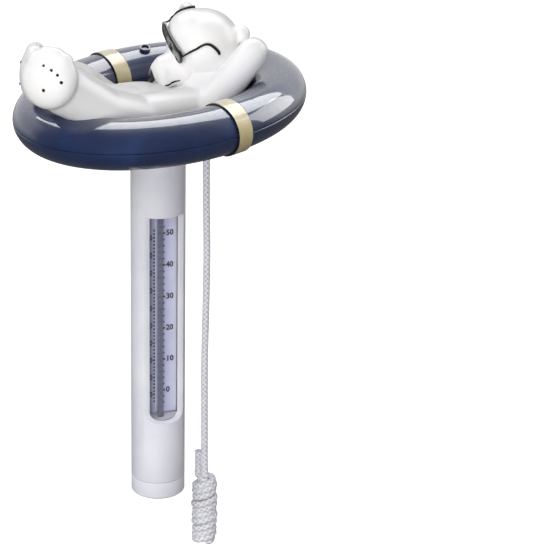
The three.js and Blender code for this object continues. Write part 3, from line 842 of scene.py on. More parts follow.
body_masses = [
    ball((-12, 0, 0), (25, 22, 9.8)),  # the belly
    ball((12, 0, 1), (17, 20, 6.5)),  # the chest
    limb((18, -1, 1), (22, -2, 10), 11, 13),  # the neck
    limb((15, -12, 4), (20, -9, 9), 10, 10),  # the near side of the neck
    limb((-20, -12, 1.5), (10, -15, 1.5), 9.2, 8.4),  # the flank, between the near leg and arm
    limb((-16, 0, 2), (-40, 0, 8.5), 9, 8),  # the lap, between the legs
    *leg(-1), *leg(1), *arm(*NEAR_ARM), *arm(*FAR_ARM),
]
bear_body = weld("bear_figure", body_masses, 0.7, 20)
settle(bear_body, [white_paint], "float", ["bear_body"])

# %% [markdown]
# The head is wide and low, with a squared muzzle and small round ears whose fronts are hollow. It is a
# piece of its own, sunk a little into the neck, so that the jaw keeps its line against the chest.

# %% Head
HEAD = (22.7, -2.5, 22.7)
HEAD_RADII = (16, 16.8, 16.4)
EARS = {"far": (20.4, 7, 36.4), "near": (33.4, -15, 29.3)}
EAR_RADIUS = 3.9
FACE_LEFT = Vector((-0.165, -0.85, -0.5)).normalized()
FACE_AHEAD = Vector((-0.95, 0.15, 0.0))
FACE_AHEAD = (FACE_AHEAD - FACE_LEFT * FACE_AHEAD.dot(FACE_LEFT)).normalized()
FACE_UP = FACE_AHEAD.cross(FACE_LEFT).normalized()


def ear_ball(centre):
    outward = (Vector(centre) - Vector(HEAD)).normalized()
    return limb(Vector(centre) - outward * 3, Vector(centre) + outward * 0.2, EAR_RADIUS, EAR_RADIUS - 0.2)


MUZZLE_END = (6.2, 1.5, 12.8)


def squared_muzzle():
    """A box with well rounded edges, since the muzzle ends in a blunt face and not in a ball."""
    bm = bmesh.new()
    bmesh.ops.create_cube(bm, size=1, matrix=Matrix.Diagonal((12 * MM, 12 * MM, 10.6 * MM, 1)))
    bmesh.ops.bevel(bm, geom=bm.edges[:], offset=3 * MM, offset_type="OFFSET", segments=6, profile=0.5,
                    affect="EDGES", material=-1)
    tilt = Matrix.Rotation(math.radians(-20), 4, "Y") @ Matrix.Rotation(math.radians(-9), 4, "Z")
    return move(bm, Matrix.Translation(Vector(MUZZLE_END) * MM) @ tilt)


head_masses = [
    ball(HEAD, HEAD_RADII),
    ball((19, -0.2, 27.4), (12, 12, 12)),  # the brow
    limb((13, -1, 15), (6.5, 2, 13.6), 10, 7),
    squared_muzzle(),
    *(ear_ball(centre) for centre in EARS.values()),
]
bear_head = weld("bear_head_skin", head_masses, 0.55, 10)
for centre in EARS.values():
    press(bear_head, Vector(centre) + FACE_AHEAD * 3.2 + FACE_UP * 0.5, -FACE_AHEAD, 3.4, 1.8)
settle(bear_head, [white_paint], "float", ["bear_head"])

# %% [markdown]
# The painted marks are laid on the finished skin. A search tree finds the nearest point of the skin and the
# way it faces, so a mark follows the surface wherever the masses end up.

# %% Marks on the skin
def skin_tree(obj):
    return BVHTree.FromPolygons([v.co.copy() for v in obj.data.vertices],
                                [list(p.vertices) for p in obj.data.polygons])


head_tree = skin_tree(bear_head)
body_tree = skin_tree(bear_body)


def stroke(name, points, radii, tree, sink, finish, free=0):
    """A tapered round bead along the skin, through points in mm, the first few of which may hang free."""
    curve = bpy.data.curves.new(name, "CURVE")
    curve.dimensions = "3D"
    curve.resolution_u = 8
    spline = curve.splines.new("BEZIER")
    spline.bezier_points.add(len(points) - 1)
    for number, (knot, place, radius) in enumerate(zip(spline.bezier_points, points, radii)):
        knot.co = Vector(place) * MM
        if number >= free:
            spot, normal, _, _ = tree.find_nearest(knot.co)
            knot.co = spot - normal * sink * MM
        knot.radius = radius
        knot.handle_left_type = knot.handle_right_type = "AUTO"
    curve.bevel_depth = MM
    curve.bevel_resolution = 5
    curve.use_fill_caps = True
    return settle(mesh_object(name, curve_mesh(curve)), [finish], "float")


stroke("mouth_line", [(0.6, -1.5, 9.0), (2.4, -3.6, 8.7), (4.4, -5.6, 9.5), (6.2, -7.4, 10.5)],
       [0.12, 0.42, 0.5, 0.3], head_tree, 0.1, black)

# The sole's marks as (across, up) from its middle: four toes and the pad.
SOLE_MARKS = [(0.9, 6.2, 0.75), (-3.2, 4.4, 0.78), (-6.5, 2.5, 0.78), (-8.8, -0.9, 0.9), (-0.3, -5.2, 0.9)]
MARK_LENGTH, MARK_SUNK = 1.9, 0.35
for side, label in ((-1, "near"), (1, "far")):
    here = foot_frame(side)
    for number, (across, up, thick) in enumerate(SOLE_MARKS):
        outer, slant = -side * across, -side * 0.5
        steps = (-MARK_LENGTH / 2, 0, MARK_LENGTH / 2)
        ends = [here @ (Vector((-9, outer + slant * s, up + 0.75 * s)) * MM) / MM for s in steps]
        stroke(f"{label}_sole_mark_{number + 1}", ends, [thick * 0.5, thick, thick * 0.5], body_tree,
               MARK_SUNK, black)

# %% [markdown]
# The nose is a rounded triangle of black enamel that wraps the end of the muzzle.

# %% Nose
NOSE = (1.7, 5.2, 12.7)
NOSE_RADII = (1.9, 3.2, 5.3)


def nose():
    bm = ball((0, 0, 0), NOSE_RADII)
    for vertex in bm.verts:
        low = max(0.0, -vertex.co.z / (NOSE_RADII[2] * MM))
        vertex.co.y *= 1 - 0.4 * low
    turn = Vector((1, 0, 0)).rotation_difference(-FACE_AHEAD).to_matrix().to_4x4()
    tilt = Matrix.Rotation(math.radians(20), 4, "Y")
    move(bm, Matrix.Translation(Vector(NOSE) * MM) @ turn @ tilt)
    return settle(to_mesh_object("nose_cap", bm), [black], "float", ["bear_nose"])


nose()

# %% [markdown]
# ## Sunglasses
#
# The sunglasses are one black moulding: a front with rounded corners, two dark lenses and two thin temples
# that lie round the head to the ears. The front starts as a box. Its corners are bevelled, and it is then
# bowed a little, because a pair of glasses follows the face.

# %% Material: smoked lens
def smoked_lens():
    """Dark plastic with a mirror gloss: almost black from the front, and pale where it reflects the room."""
    material, tree, shader, place = new_material(
        "smoked_acrylic_lens", {"Roughness": 0.06, "Coat Weight": 0.7, "Coat Roughness": 0.03},
        5, [(0.3, "3c3e44"), (0.8, "5a5d66")])
    swell = add_node(tree, "TexNoise", {"Vector": place, "Scale": per_metre(4), **SOFT_PATCHES})
    wire(tree, shader, {"Normal": add_node(
        tree, "Bump", {"Height": swell, "Distance": 0.02 * MM, "Strength": 0.4})})
    return material


smoke = smoked_lens()

# %% Front, lenses and temples
FRONT_CENTRE = (6.8, 0, 26.2)
FRONT_WIDE, FRONT_HIGH, FRONT_THICK = 21.4, 7.4, 1.3
LENS_INSET, BRIDGE = 0.9, 2.2
BOW = 0.006  # how far the front bends back, per mm squared from its middle
SLICE_GAP = 1.05  # between the slices that let a plate bend

face_basis = Matrix((FACE_UP.cross(FACE_AHEAD), FACE_UP, FACE_AHEAD)).transposed().to_4x4()
FRONT_TILT = math.radians(12)  # the front leans in at its foot
on_face = Matrix.Translation(Vector(FRONT_CENTRE) * MM) @ face_basis @ Matrix.Rotation(FRONT_TILT, 4, "X")


def plate(wide, high, thick, corner, edge, shift=0.0):
    """A flat plate with round corners and soft edges, bowed like the front."""
    bm = bmesh.new()
    bmesh.ops.create_cube(bm, size=1, matrix=Matrix.Diagonal((wide * MM, high * MM, thick * MM, 1)))
    uprights = [e for e in bm.edges if abs((e.verts[0].co - e.verts[1].co).z) > 0.5 * thick * MM]
    bmesh.ops.bevel(bm, geom=uprights, offset=corner * MM, offset_type="OFFSET", segments=8, profile=0.5,
                    affect="EDGES", material=-1)
    round_edges(bm, edge, over_degrees=60)
    for step in range(-9, 10):
        slice_across(bm, (step * SLICE_GAP * MM, 0, 0), (1, 0, 0))
    bmesh.ops.translate(bm, verts=bm.verts, vec=(shift * MM, 0, 0))
    return bm


def bowed(bm):
    for vertex in bm.verts:
        vertex.co.z -= BOW * (vertex.co.x / MM) ** 2 * MM
    return move(bm, on_face)


def sunglasses():
    lens_wide = FRONT_WIDE / 2 - BRIDGE / 2 - LENS_INSET
    lens_high = FRONT_HIGH - 2 * LENS_INSET
    front = to_mesh_object("sunglasses_front", bowed(plate(FRONT_WIDE, FRONT_HIGH, FRONT_THICK, 2.6, 0.35)))
    for side, label in ((-1, "right"), (1, "left")):
        centre = side * (BRIDGE / 2 + lens_wide / 2)
        hole = to_mesh_object("lens_opening", bowed(plate(lens_wide, lens_high, 4, 2.0, 0.05, centre)))
        cut_with(front, hole)
        final_mesh(front)
        bpy.data.objects.remove(hole)
        lens = plate(lens_wide - 0.05, lens_high - 0.05, 0.9, 2.0, 0.15, centre)
        node = "left_lens" if side < 0 else "right_lens"
        settle(to_mesh_object(f"smoked_lens_{label}", bowed(lens)), [smoke], "float", [node])
    settle(front, [black], "float", ["sunglasses_frame"], flat_over=40)


TEMPLES = {
    "left_temple": [(7.9, -12.2, 24.9), (10, -13.6, 26.1), (12.7, -15.6, 28.1), (14.5, -16.8, 28.4),
                    (16.5, -18.4, 27), (18.1, -19.4, 24.9), (18.5, -19.6, 23.6)],
    "right_temple": [(11.6, 8.6, 33.9), (12.8, 8.0, 35.4), (14.3, 8.4, 34), (15.3, 5.2, 36.3), (18.3, 2, 38.8),
                     (20.6, 1.5, 39.4)],
}
TEMPLE_PROUD = 0.35  # how far its middle stands off the skin
TEMPLE_RADII = (0.45, 0.5, 0.5, 0.55, 0.65, 0.75, 0.8, 0.55)

sunglasses()
for node, places in TEMPLES.items():
    side = 1 if node == "left_temple" else -1
    hinge = on_face @ (Vector((side * (FRONT_WIDE / 2 - 0.4), 1.6, -0.8)) * MM) / MM
    temple = stroke(f"{node}_bar", [hinge] + places, TEMPLE_RADII, head_tree, -TEMPLE_PROUD, black,
                    free=1)
    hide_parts(node)

# %% [markdown]
# ## The tube
#
# The tube is white PVC with a long flat cut across its front: square at the top and running out in a curve
# at the bottom, as a milling cutter leaves it. The same cut is made here: a bevelled wall is spun, and the
# cutter's shape is taken out of it. The cut edges are then rounded, because they catch the light along the
# window.

# %% Material: white PVC
def white_pvc():
    """Semi-gloss white plastic, faintly mottled, with a little light going into it."""
    material, tree, shader, place = new_material(
        "white_moulded_pvc",
        {"Roughness": 0.34, "IOR": 1.53, "Specular IOR Level": 0.35, "Subsurface Weight": 0.05,
         "Subsurface Scale": 1 * MM},
        30, [(0.3, "dcdce6"), (0.7, "eeeff4")])
    speckle = add_node(tree, "TexNoise", {"Vector": place, "Scale": per_metre(2), **SOFT_PATCHES})
    gloss = add_node(tree, "MapRange", {"Value": speckle, "From Min": 0.3, "From Max": 0.7, "To Min": 0.4,
                                        "To Max": 0.5})
    swell = add_node(tree, "TexNoise", {"Vector": place, "Scale": per_metre(9), **SOFT_PATCHES, "Detail": 1})
    wire(tree, shader, {"Roughness": gloss, "Normal": add_node(
        tree, "Bump", {"Height": swell, "Distance": 0.05 * MM, "Strength": 0.4})})
    return material


pvc = white_pvc()

# %% Tube with its window
TUBE_RADIUS, TUBE_WALL = 12.1, 1.9
TUBE_TOP, TUBE_BOTTOM = -13, -176.3
WINDOW_TURN = math.radians(-18)
WINDOW_TOP, WINDOW_BOTTOM = -48.7, -147.5
WINDOW_FLAT = 7.9  # the cut's distance from the axis
WINDOW_RUN_OUT = 5
CUTTER_REACH = 20  # to each side of the tube
facing = Matrix.Rotation(WINDOW_TURN, 4, "Z")


def window_cutter():
    """The cutter's side view, extruded across the tube. The front of the tube is its -Y side."""
    outside = TUBE_RADIUS + 3
    curve = [math.radians(a) for a in range(0, 91, 9)]
    run_out = [(WINDOW_FLAT + (outside - WINDOW_FLAT) * (1 - math.cos(a)),
                WINDOW_BOTTOM + WINDOW_RUN_OUT * (1 - math.sin(a))) for a in curve]
    outline = [(outside, WINDOW_TOP), (WINDOW_FLAT, WINDOW_TOP)] + run_out
    points = [(-CUTTER_REACH * MM, -out * MM, height * MM) for out, height in outline]
    bm = extruded(points, (2 * CUTTER_REACH * MM, 0, 0))
    return to_mesh_object("window_cutter", move(bm, facing))


def tube():
    inside = TUBE_RADIUS - TUBE_WALL
    profile = [(inside, TUBE_BOTTOM), (TUBE_RADIUS, TUBE_BOTTOM), (TUBE_RADIUS, TUBE_TOP), (inside, TUBE_TOP)]
    bm = round_edges(lathe(profile, 128, closed=True), 0.3, over_degrees=50)
    obj = to_mesh_object("thermometer_tube", bm)
    cutter = window_cutter()
    cut_with(obj, cutter)
    soft = obj.modifiers.new("soft_cut_edge", "BEVEL")
    soft.width = 0.25 * MM
    soft.segments = 2
    soft.limit_method = "ANGLE"
    soft.angle_limit = math.radians(40)
    soft.use_clamp_overlap = True
    final_mesh(obj)
    bpy.data.objects.remove(cutter)
    return settle(obj, [pvc], "float", ["tube_body"], flat_over=30)


tube()

# %% [markdown]
# Behind the window is a clear inner tube, which keeps the water out. Clear plastic is mostly seen by its
# reflections, so it has real thickness, and a thin purple-grey line where one looks along its wall.

# %% Clear sleeve
SLEEVE_RADIUS, SLEEVE_WALL = 9.8, 1
SLEEVE_TOP, SLEEVE_BOTTOM = -43, -150.5


def clear_styrene():
    """Water-clear plastic: nearly all the light passes, so it shows only as a faint milky gloss."""
    return new_material("clear_polystyrene", {"Alpha": 0.05, "IOR": 1.45, "Roughness": 0.06},
                        12, [(0.3, "eceefa"), (0.7, "f8f9ff")])[0]


styrene = clear_styrene()


def sleeve():
    inside = SLEEVE_RADIUS - SLEEVE_WALL
    profile = [(inside, SLEEVE_BOTTOM), (SLEEVE_RADIUS, SLEEVE_BOTTOM), (SLEEVE_RADIUS, SLEEVE_TOP),
               (inside, SLEEVE_TOP)]
    bm = round_edges(lathe(profile, 96, closed=True), 0.15, over_degrees=50)
    return settle(to_mesh_object("inner_clear_tube", bm), [styrene], "float",
                  ["clear_sleeve"], flat_over=40)


sleeve()

# %% [markdown]
# ## The scale
#
# The scale is printed on a card that stands across the sleeve. The print is ink: real letters and marks as
# thin raised pieces, a few hundredths of a millimetre thick in life and a little more here. Text becomes a
# mesh before it is put in place. The Celsius figures stand right of the stem and the Fahrenheit ones left
# of it.

# %% Material: printed card and ink
CARD_FRONT = 1.3  # the card's front, from the axis
CARD_BACK = 0.5
CARD_WIDE = 16.6
CARD_TOP, CARD_BOTTOM = -47.8, -146


def printed_card():
    """Pale lilac card, seen through the sleeve, with painted shade that darkens it to slate towards the left.
    """
    material, tree, shader, place = new_material("printed_lilac_card", {"Roughness": 0.45})
    side = add_node(tree, "Mapping", {"Vector": place, "Rotation": (0, 0, -WINDOW_TURN)})
    across = add_node(tree, "SeparateXYZ", {"Vector": side}).outputs["X"]
    # Painted shade: the card's colour runs from slate on the left to pale lilac on the right.
    part = add_node(tree, "MapRange", {"Value": across, "From Min": -7 * MM, "From Max": 7.5 * MM})
    painted_shade_ground = add_node(tree, "ValToRGB", {"Fac": part}, [
        (0.0, "7a7c9c"), (0.24, "8486a8"), (0.3, "b2b4da"), (0.60, "b0b2d8"), (0.72, "d2d4f6"),
        (1.0, "eceeff")])
    mottle = add_node(tree, "TexNoise", {"Vector": place, "Scale": per_metre(6), **SOFT_PATCHES})
    flecks = add_node(tree, "ValToRGB", {"Fac": mottle}, [(0.3, "f0f0f0"), (0.7, "ffffff")])
    mixed = add_node(tree, "Mix", {"Factor": 0.8, "A": painted_shade_ground, "B": flecks}, data_type="RGBA",
                     blend_type="MULTIPLY")
    wire(tree, shader, {"Base Color": mixed.outputs["Result"]})
    return material


def navy_ink():
    """Nearly black, and a little uneven, as thin ink is."""
    return new_material("navy_printing_ink", {"Roughness": 0.5}, 1.5, [(0.3, "02030e"), (0.8, "0c0d22")])[0]


card_print = printed_card()
ink = navy_ink()

# %% Card
to_window = facing @ Matrix.Rotation(math.radians(90), 4, "X")


def card():
    """The card as one thin box with soft edges, turned to face the window."""
    bm = bmesh.new()
    size = (CARD_WIDE * MM, (CARD_FRONT - CARD_BACK) * MM, (CARD_TOP - CARD_BOTTOM) * MM)
    bmesh.ops.create_cube(bm, size=1, matrix=Matrix.Diagonal((*size, 1)))
    middle = (0, -(CARD_FRONT + CARD_BACK) / 2 * MM, (CARD_TOP + CARD_BOTTOM) / 2 * MM)
    bmesh.ops.translate(bm, verts=bm.verts, vec=middle)
    round_edges(bm, 0.1)
    move(bm, facing)
    return settle(to_mesh_object("scale_card_sheet", bm), [card_print], "float",
                  ["scale_card"], flat_over=40)


card()

# %% Marks and figures
INK_RAISED = 0.06
CELSIUS_ZERO_Z, CELSIUS_50_Z = -135.2, -59.7
MM_PER_CELSIUS = (CELSIUS_50_Z - CELSIUS_ZERO_Z) / 50
FIGURE_HIGH = 2.6
CAPITAL_PART = 0.73  # how much of the letter size a figure takes
LETTERS_Z = WINDOW_TOP - 1.9
# Columns on the card, as (left, right) from its middle.
CELSIUS_FIGURES, FAHRENHEIT_FIGURES = (3.3, 6.7), (-6.4, -3.0)
CELSIUS_LETTER, FAHRENHEIT_LETTER = (3.2, 6.0), (-6.0, -3.2)
CELSIUS_TICKS, STEM_TICKS, FAHRENHEIT_TICKS = (1.75, 2.6), (-0.3, 0.9), (-2.65, -1.8)
LONG_TICK = 0.35  # what every tenth degree adds


def celsius_height(degrees):
    return CELSIUS_ZERO_Z + degrees * MM_PER_CELSIUS


def fahrenheit_height(degrees):
    return celsius_height((degrees - 32) / 1.8)


def tick(bm, left, right, height, thick):
    bmesh.ops.create_cube(bm, size=1, matrix=Matrix.Translation(((left + right) / 2 * MM, height * MM, 0))
                          @ Matrix.Diagonal(((right - left) * MM, thick * MM, INK_RAISED * MM, 1)))


def lay_on_card(bm):
    front = Matrix.Translation((0, 0, (CARD_FRONT + INK_RAISED / 2) * MM))
    return move(bm, to_window @ front)


def scale_ticks():
    bm = bmesh.new()
    for degrees in range(-4, 53, 2):
        bold = degrees % 10 == 0
        left, right = CELSIUS_TICKS
        tick(bm, left, right + (LONG_TICK if bold else 0), celsius_height(degrees), 0.9 if bold else 0.7)
        tick(bm, *STEM_TICKS, celsius_height(degrees), 0.9 if bold else 0.6)
    for degrees in range(26, 126, 2):
        tick(bm, *FAHRENHEIT_TICKS, fahrenheit_height(degrees), 1.0 if degrees % 10 == 0 else 0.85)
    return settle(to_mesh_object("scale_ticks", lay_on_card(bm)), [ink], "float",
                  flat_over=30)


def figure(text, left, right, height, align):
    """A printed figure, scaled to stand between two sides and at a height."""
    curve = bpy.data.curves.new("figure", "FONT")
    curve.body = text
    curve.size = FIGURE_HIGH / CAPITAL_PART * MM
    curve.extrude = INK_RAISED / 2 * MM
    curve.offset = 0.14 * MM
    curve.resolution_u = 3
    curve.align_x = align
    curve.align_y = "CENTER"
    mesh = curve_mesh(curve)
    wide = max(v.co.x for v in mesh.vertices) - min(v.co.x for v in mesh.vertices)
    at = left if align == "LEFT" else right
    squeeze = min(1.0, (right - left) * MM / wide)
    mesh.transform(Matrix.Translation((at * MM, height * MM, 0)) @ Matrix.Diagonal((squeeze, 1, 1, 1)))
    return mesh


def scale_figures():
    rows = [(str(d), *CELSIUS_FIGURES, celsius_height(d), "LEFT") for d in range(50, -1, -10)]
    rows += [(str(d), *FAHRENHEIT_FIGURES, fahrenheit_height(d), "RIGHT") for d in range(120, 20, -10)]
    rows += [("F", *FAHRENHEIT_LETTER, LETTERS_Z, "RIGHT"), ("C", *CELSIUS_LETTER, LETTERS_Z, "LEFT")]
    whole = bmesh.new()
    for row in rows:
        join_mesh(whole, figure(*row))
    bmesh.ops.remove_doubles(whole, verts=whole.verts, dist=1e-6)
    return settle(to_mesh_object("scale_figures", lay_on_card(whole)), [ink], "float",
                  flat_over=30)


scale_ticks()
scale_figures()


def white_ink():
    """Off-white and matt, for a painted highlight, so that the line stays pale beside the stem and never
    glints.
    """
    return new_material("painted_highlight_off_white", {"Roughness": 0.5}, 2, [(0.3, "d4d4ea"), (0.8, "f0f0fa")])[0]


# Painted highlights: where the two light lines beside the stem lie on the card, and their width.
HIGHLIGHT_AT, HIGHLIGHT_WIDE = 1.45, 0.32


def stem_borders():
    """A fine white line on each side of the stem's place: painted highlights of the glass rod's edges."""
    bm = bmesh.new()
    for side in (-1, 1):
        middle = Matrix.Translation((side * HIGHLIGHT_AT * MM, (CARD_TOP + CARD_BOTTOM) / 2 * MM, 0))
        size = Matrix.Diagonal((HIGHLIGHT_WIDE * MM, (CARD_TOP - CARD_BOTTOM - 2) * MM, INK_RAISED * MM, 1))
        bmesh.ops.create_cube(bm, size=1, matrix=middle @ size)
    return settle(to_mesh_object("painted_stem_highlights", lay_on_card(bm)), [white_ink()], "float",
                  flat_over=30)


stem_borders()

# %% [markdown]
# The stem is a rod of clear glass in front of the card, with the dyed spirit in its bore. The rod is a
# lens: it shows as a darker column with a light line on each side.

# %% Stem and spirit
STEM_AT, STEM_RADIUS, STEM_BORE = 3.45, 1.5, 0.95
STEM_TOP, STEM_BOTTOM = -46, -152
BULB_RADIUS, BULB_BOTTOM = 2.6, -171.8
SPIRIT_RADIUS, SPIRIT_TOP, SPIRIT_BOTTOM = 0.6, -94.4, -158.2
at_stem = facing @ Matrix.Translation((0, -STEM_AT * MM, 0))


def clear_glass():
    """Glass with a grey tint, which stands for the dark middle that a real rod's lens gives."""
    return new_material("clear_soda_glass", {"Alpha": 0.24, "IOR": 1.5, "Roughness": 0.04},
                        20, [(0.3, "7c7e9c"), (0.7, "8c8eac")])[0]


def dyed_spirit():
    """A dark blue liquid that lets a little light through."""
    return new_material("dyed_alcohol", {"Transmission Weight": 0.3, "IOR": 1.36, "Roughness": 0.05},
                        15, [(0.3, "2c3058"), (0.7, "3a3f6e")])[0]


glass = clear_glass()
spirit_dye = dyed_spirit()


def stem():
    profile = [(STEM_BORE, BULB_BOTTOM), (BULB_RADIUS - 0.6, BULB_BOTTOM), (BULB_RADIUS, BULB_BOTTOM + 1),
               (BULB_RADIUS, STEM_BOTTOM - 3), (STEM_RADIUS, STEM_BOTTOM), (STEM_RADIUS, STEM_TOP - 0.6),
               (STEM_RADIUS - 0.6, STEM_TOP), (0, STEM_TOP), (0, STEM_TOP - 1), (STEM_BORE, STEM_TOP - 1.6)]
    bm = round_edges(lathe(profile, 40, closed=True), 0.15, over_degrees=30)
    settle(to_mesh_object("stem_rod", move(bm, at_stem)), [glass], "float", ["glass_stem"],
           flat_over=40)


def spirit():
    profile = [(0, SPIRIT_BOTTOM), (SPIRIT_RADIUS, SPIRIT_BOTTOM), (SPIRIT_RADIUS, SPIRIT_TOP),
               (0, SPIRIT_TOP)]
    bm = round_edges(lathe(profile, 24), 0.15)
    settle(to_mesh_object("spirit_thread", move(bm, at_stem)), [spirit_dye], "spirit",
           ["spirit_column"])


stem()
spirit()

# %% [markdown]
# ## Cap, socket and the parts inside
#
# The cap is the same plastic as the tube and has a chamfer at its foot. Its spigot and seal are inside the
# tube. The other turned parts keep the frame's own shapes and take finer materials.

# %% End cap
CAP_BOTTOM, CAP_SPIGOT, CAP_SPIGOT_TOP, CAP_GROOVE = -184.5, 9.8, -172.3, -174.4
SEAL_SECTION, SEAL_RADIUS = 0.55, 9.3
CAP_SEAM = 0.12


def end_cap():
    groove, half = SEAL_RADIUS - SEAL_SECTION - CAP_SEAM, SEAL_SECTION + CAP_SEAM
    shoulder = TUBE_BOTTOM - CAP_SEAM
    profile = [(0, CAP_BOTTOM), (TUBE_RADIUS - 0.8, CAP_BOTTOM), (TUBE_RADIUS, CAP_BOTTOM + 0.8),
               (TUBE_RADIUS, shoulder), (CAP_SPIGOT, shoulder), (CAP_SPIGOT, CAP_GROOVE - half),
               (groove, CAP_GROOVE - half), (groove, CAP_GROOVE + half), (CAP_SPIGOT, CAP_GROOVE + half),
               (CAP_SPIGOT, CAP_SPIGOT_TOP), (0, CAP_SPIGOT_TOP)]
    bm = round_edges(lathe(profile, 128), 0.2, over_degrees=30)
    return settle(to_mesh_object("foot_cap", bm), [pvc], "cap", ["end_cap"], flat_over=40)


end_cap()


# %% Socket collar
SOCKET_BORE, SOCKET_RADIUS, FLANGE_RADIUS = 12.5, 15.2, 19
SOCKET_TOP, SOCKET_BOTTOM, FLANGE_THICK = -12.4, -22.5, 2
GROOVE_Z, GROOVE_HALF, GROOVE_RADIUS = -18.6, 0.9, 13.95


def socket():
    high, low = GROOVE_Z + GROOVE_HALF, GROOVE_Z - GROOVE_HALF
    under = SOCKET_TOP - FLANGE_THICK
    profile = [(SOCKET_BORE, SOCKET_BOTTOM), (SOCKET_RADIUS, SOCKET_BOTTOM), (SOCKET_RADIUS, under),
               (FLANGE_RADIUS, under), (FLANGE_RADIUS, SOCKET_TOP), (SOCKET_BORE, SOCKET_TOP),
               (SOCKET_BORE, high), (GROOVE_RADIUS, high), (GROOVE_RADIUS, low), (SOCKET_BORE, low)]
    bm = round_edges(lathe(profile, 128, closed=True), 0.3, over_degrees=50)
    return settle(to_mesh_object("tube_socket", bm), [pvc], "float", ["socket_collar"],
                  flat_over=40)


socket()


# %% [markdown]
# The cord's eye is a thick hoop on a pad under the ring: two turned shapes, joined in one mesh.

# %% Cord eye
HOOP_RADIUS, HOOP_THICK, HOOP_DEEP, HOOP_Z = 2.75, 0.748, 1.4, -16
PAD_PROFILE = [(0, -13.4), (2.2, -13.4), (3, -11.9), (4.3, -11.5), (4.3, -9.7), (0, -9.7)]


def cord_eye():
    arc = [math.radians(a) for a in range(0, 360, 20)]
    section = [(HOOP_RADIUS + HOOP_THICK * math.cos(a), HOOP_DEEP * math.sin(a)) for a in arc]
    hoop = lathe(section, 48, closed=True)
    move(hoop, Matrix.Translation((0, 0, HOOP_Z * MM)) @ Matrix.Rotation(math.radians(90), 4, "Y"))
    pad = round_edges(lathe(PAD_PROFILE, 48), 0.25)
    join_shape(pad, hoop)
    bmesh.ops.translate(pad, verts=pad.verts, vec=(CORD_X * MM, 0, 0))
    return settle(to_mesh_object("hanging_eye", pad), [pvc], "float", ["cord_eye"],
                  flat_over=50)


hanging_eye = cord_eye()


# %% Finishes of the parts that stay
def moulded_rubber():
    """Dull black with a fine grain, which takes the light softly."""
    material, tree, shader, place = new_material(
        "moulded_nitrile_rubber", {"Roughness": 0.62}, 3, [(0.3, "1c1c1e"), (0.8, "2a2a2d")])
    grain = add_node(tree, "TexNoise", {"Vector": place, "Scale": per_metre(0.6), **SOFT_PATCHES})
    wire(tree, shader, {"Normal": add_node(tree, "Bump", {"Height": grain, "Distance": 0.04 * MM})})
    return material


def turned_steel():
    """Bare steel from the lathe, with fine rings round it."""
    material, tree, shader, place = new_material("turned_mild_steel", {"Metallic": 1.0, "Roughness": 0.35})
    rings = add_node(tree, "TexWave", {"Vector": place, "Scale": per_metre(0.5) / 6.3, "Distortion": 0.4},
                     bands_direction="Z").outputs["Fac"]
    tone = add_node(tree, "ValToRGB", {"Fac": rings}, [(0.2, "8a8c90"), (0.8, "a3a5a9")])
    wire(tree, shader, {"Base Color": tone, "Normal": add_node(
        tree, "Bump", {"Height": rings, "Distance": 0.03 * MM})})
    return material


def finish_node(name, material):
    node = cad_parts[name]
    node.data.materials.clear()
    node.data.materials.append(material)


rubber = moulded_rubber()
steel = turned_steel()
for name in ("socket_seal", "cap_seal"):
    finish_node(name, rubber)
for name in ("top_plug", "upper_stem_clip", "lower_stem_clip"):
    finish_node(name, pvc)
finish_node("ballast_weight", steel)

# %% [markdown]
# ## Floor and light
#
# Soft studio light has no hard edges, so every lamp is a large area. Gloss is what shows the ring's
# roundness, and gloss is a picture of the room: the wall is bright beyond the object and dark in front of
# it, and one lamp overhead lays a streak along the ring's crest while its flank stays navy. The lamps that
# light the matt white parts don't show in gloss, so the two kinds of light can be set on their own.

# %% Pale floor
FLOOR_BELOW = 0.45
FLOOR_REACH = 6


def pale_floor():
    """A white painted board, lit from below like a light table so that it stays white and shadowless."""
    material, tree, shader, place = new_material(
        "matt_white_light_table", {"Roughness": 0.9, "Emission Strength": 0.85},
        400, [(0.3, "fdfdfd"), (0.7, "ffffff")])
    wire(tree, shader, {"Emission Color": shader.inputs["Base Color"].links[0].from_socket})
    bm = bmesh.new()
    bmesh.ops.create_grid(bm, x_segments=1, y_segments=1, size=FLOOR_REACH)
    floor = to_mesh_object("floor", move(bm, Matrix.Translation((0, 0, -FLOOR_BELOW))))
    floor.data.materials.append(material)
    floor.visible_glossy = False
    floor.visible_diffuse = False
    return floor


pale_floor()

# %% A bright room behind, a dark one in front
ROOM_BRIGHT = 1.0
ROOM_DARK = 0.14
# The wall fades in from dark to bright: by how far a direction points beyond the object, and by its height.
WALL_EDGE, WALL_TOP, WALL_FOOT = (0.05, 0.35), (0.62, 0.5), (-0.35, -0.05)


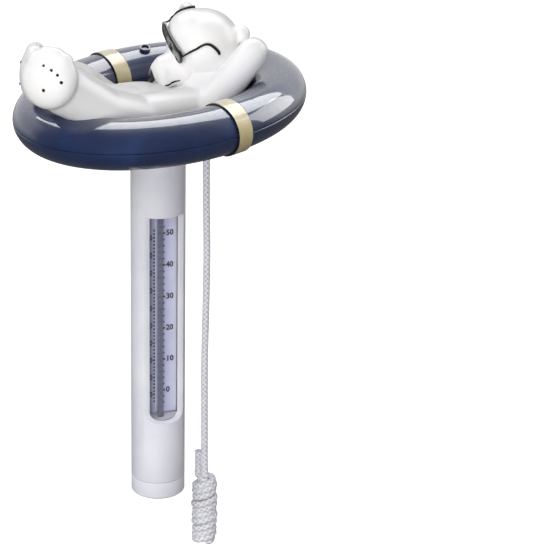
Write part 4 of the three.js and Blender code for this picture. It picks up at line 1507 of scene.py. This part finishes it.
def light_room():
    world = bpy.data.worlds.new("studio")
    bpy.context.scene.world = world
    world.use_nodes = True
    tree = world.node_tree
    tree.nodes.clear()
    direction = add_node(tree, "TexCoord").outputs["Generated"]
    away = Vector((-view_back.x, -view_back.y, 0)).normalized()
    beyond = add_node(tree, "VectorMath", {0: direction, 1: away}, operation="DOT_PRODUCT").outputs["Value"]
    height = add_node(tree, "SeparateXYZ", {"Vector": direction}).outputs["Z"]
    lit = 1.0
    for value, dark, bright in ((beyond, *WALL_EDGE), (height, *WALL_TOP), (height, *WALL_FOOT)):
        part = add_node(tree, "MapRange", {"Value": value, "From Min": dark, "From Max": bright})
        lit = add_node(tree, "Math", {0: lit, 1: part}, operation="MULTIPLY")
    strength = add_node(tree, "MapRange", {"Value": lit, "To Min": ROOM_DARK, "To Max": ROOM_BRIGHT})
    sky = add_node(tree, "Background", {"Color": linear("fbfcff"), "Strength": strength})
    add_node(tree, "OutputWorld", {"Surface": sky})


def soft_lamp(name, direction, distance, size, watts, in_gloss):
    """A lamp of a (width, depth) that faces the object and lights either its gloss or all but its gloss."""
    lamp = bpy.data.lights.new(name, "AREA")
    lamp.shape = "RECTANGLE"
    lamp.size, lamp.size_y = size
    lamp.energy = watts
    obj = bpy.data.objects.new(name, lamp)
    middle = Vector((0, 0, -0.05))
    way = Vector(direction).normalized()
    obj.location = middle + way * distance
    obj.rotation_mode = "QUATERNION"
    obj.rotation_quaternion = way.to_track_quat("Z", "Y")
    obj.visible_glossy = in_gloss
    obj.visible_diffuse = not in_gloss
    bpy.context.scene.collection.objects.link(obj)


light_room()
to_the_right, beyond, overhead = view_right, -view_back - Vector((0, 0, -view_back.z)), Vector((0, 0, 1))
soft_lamp("key_softbox", overhead - beyond * 0.9 - to_the_right * 0.5, 1.4, (1.2, 1.2), 12.5, False)
soft_lamp("front_fill", -beyond - to_the_right * 0.1 - overhead * 0.05, 1.6, (1.4, 1.4), 22.5, False)
soft_lamp("overhead_softbox", overhead + beyond * 0.55, 1.2, (1.9, 0.8), 29, True)
soft_lamp("right_softbox", to_the_right + overhead * 0.5 + beyond * 0.3, 1.3, (0.9, 0.9), 12, True)
bpy.context.scene.view_settings.view_transform = "Standard"
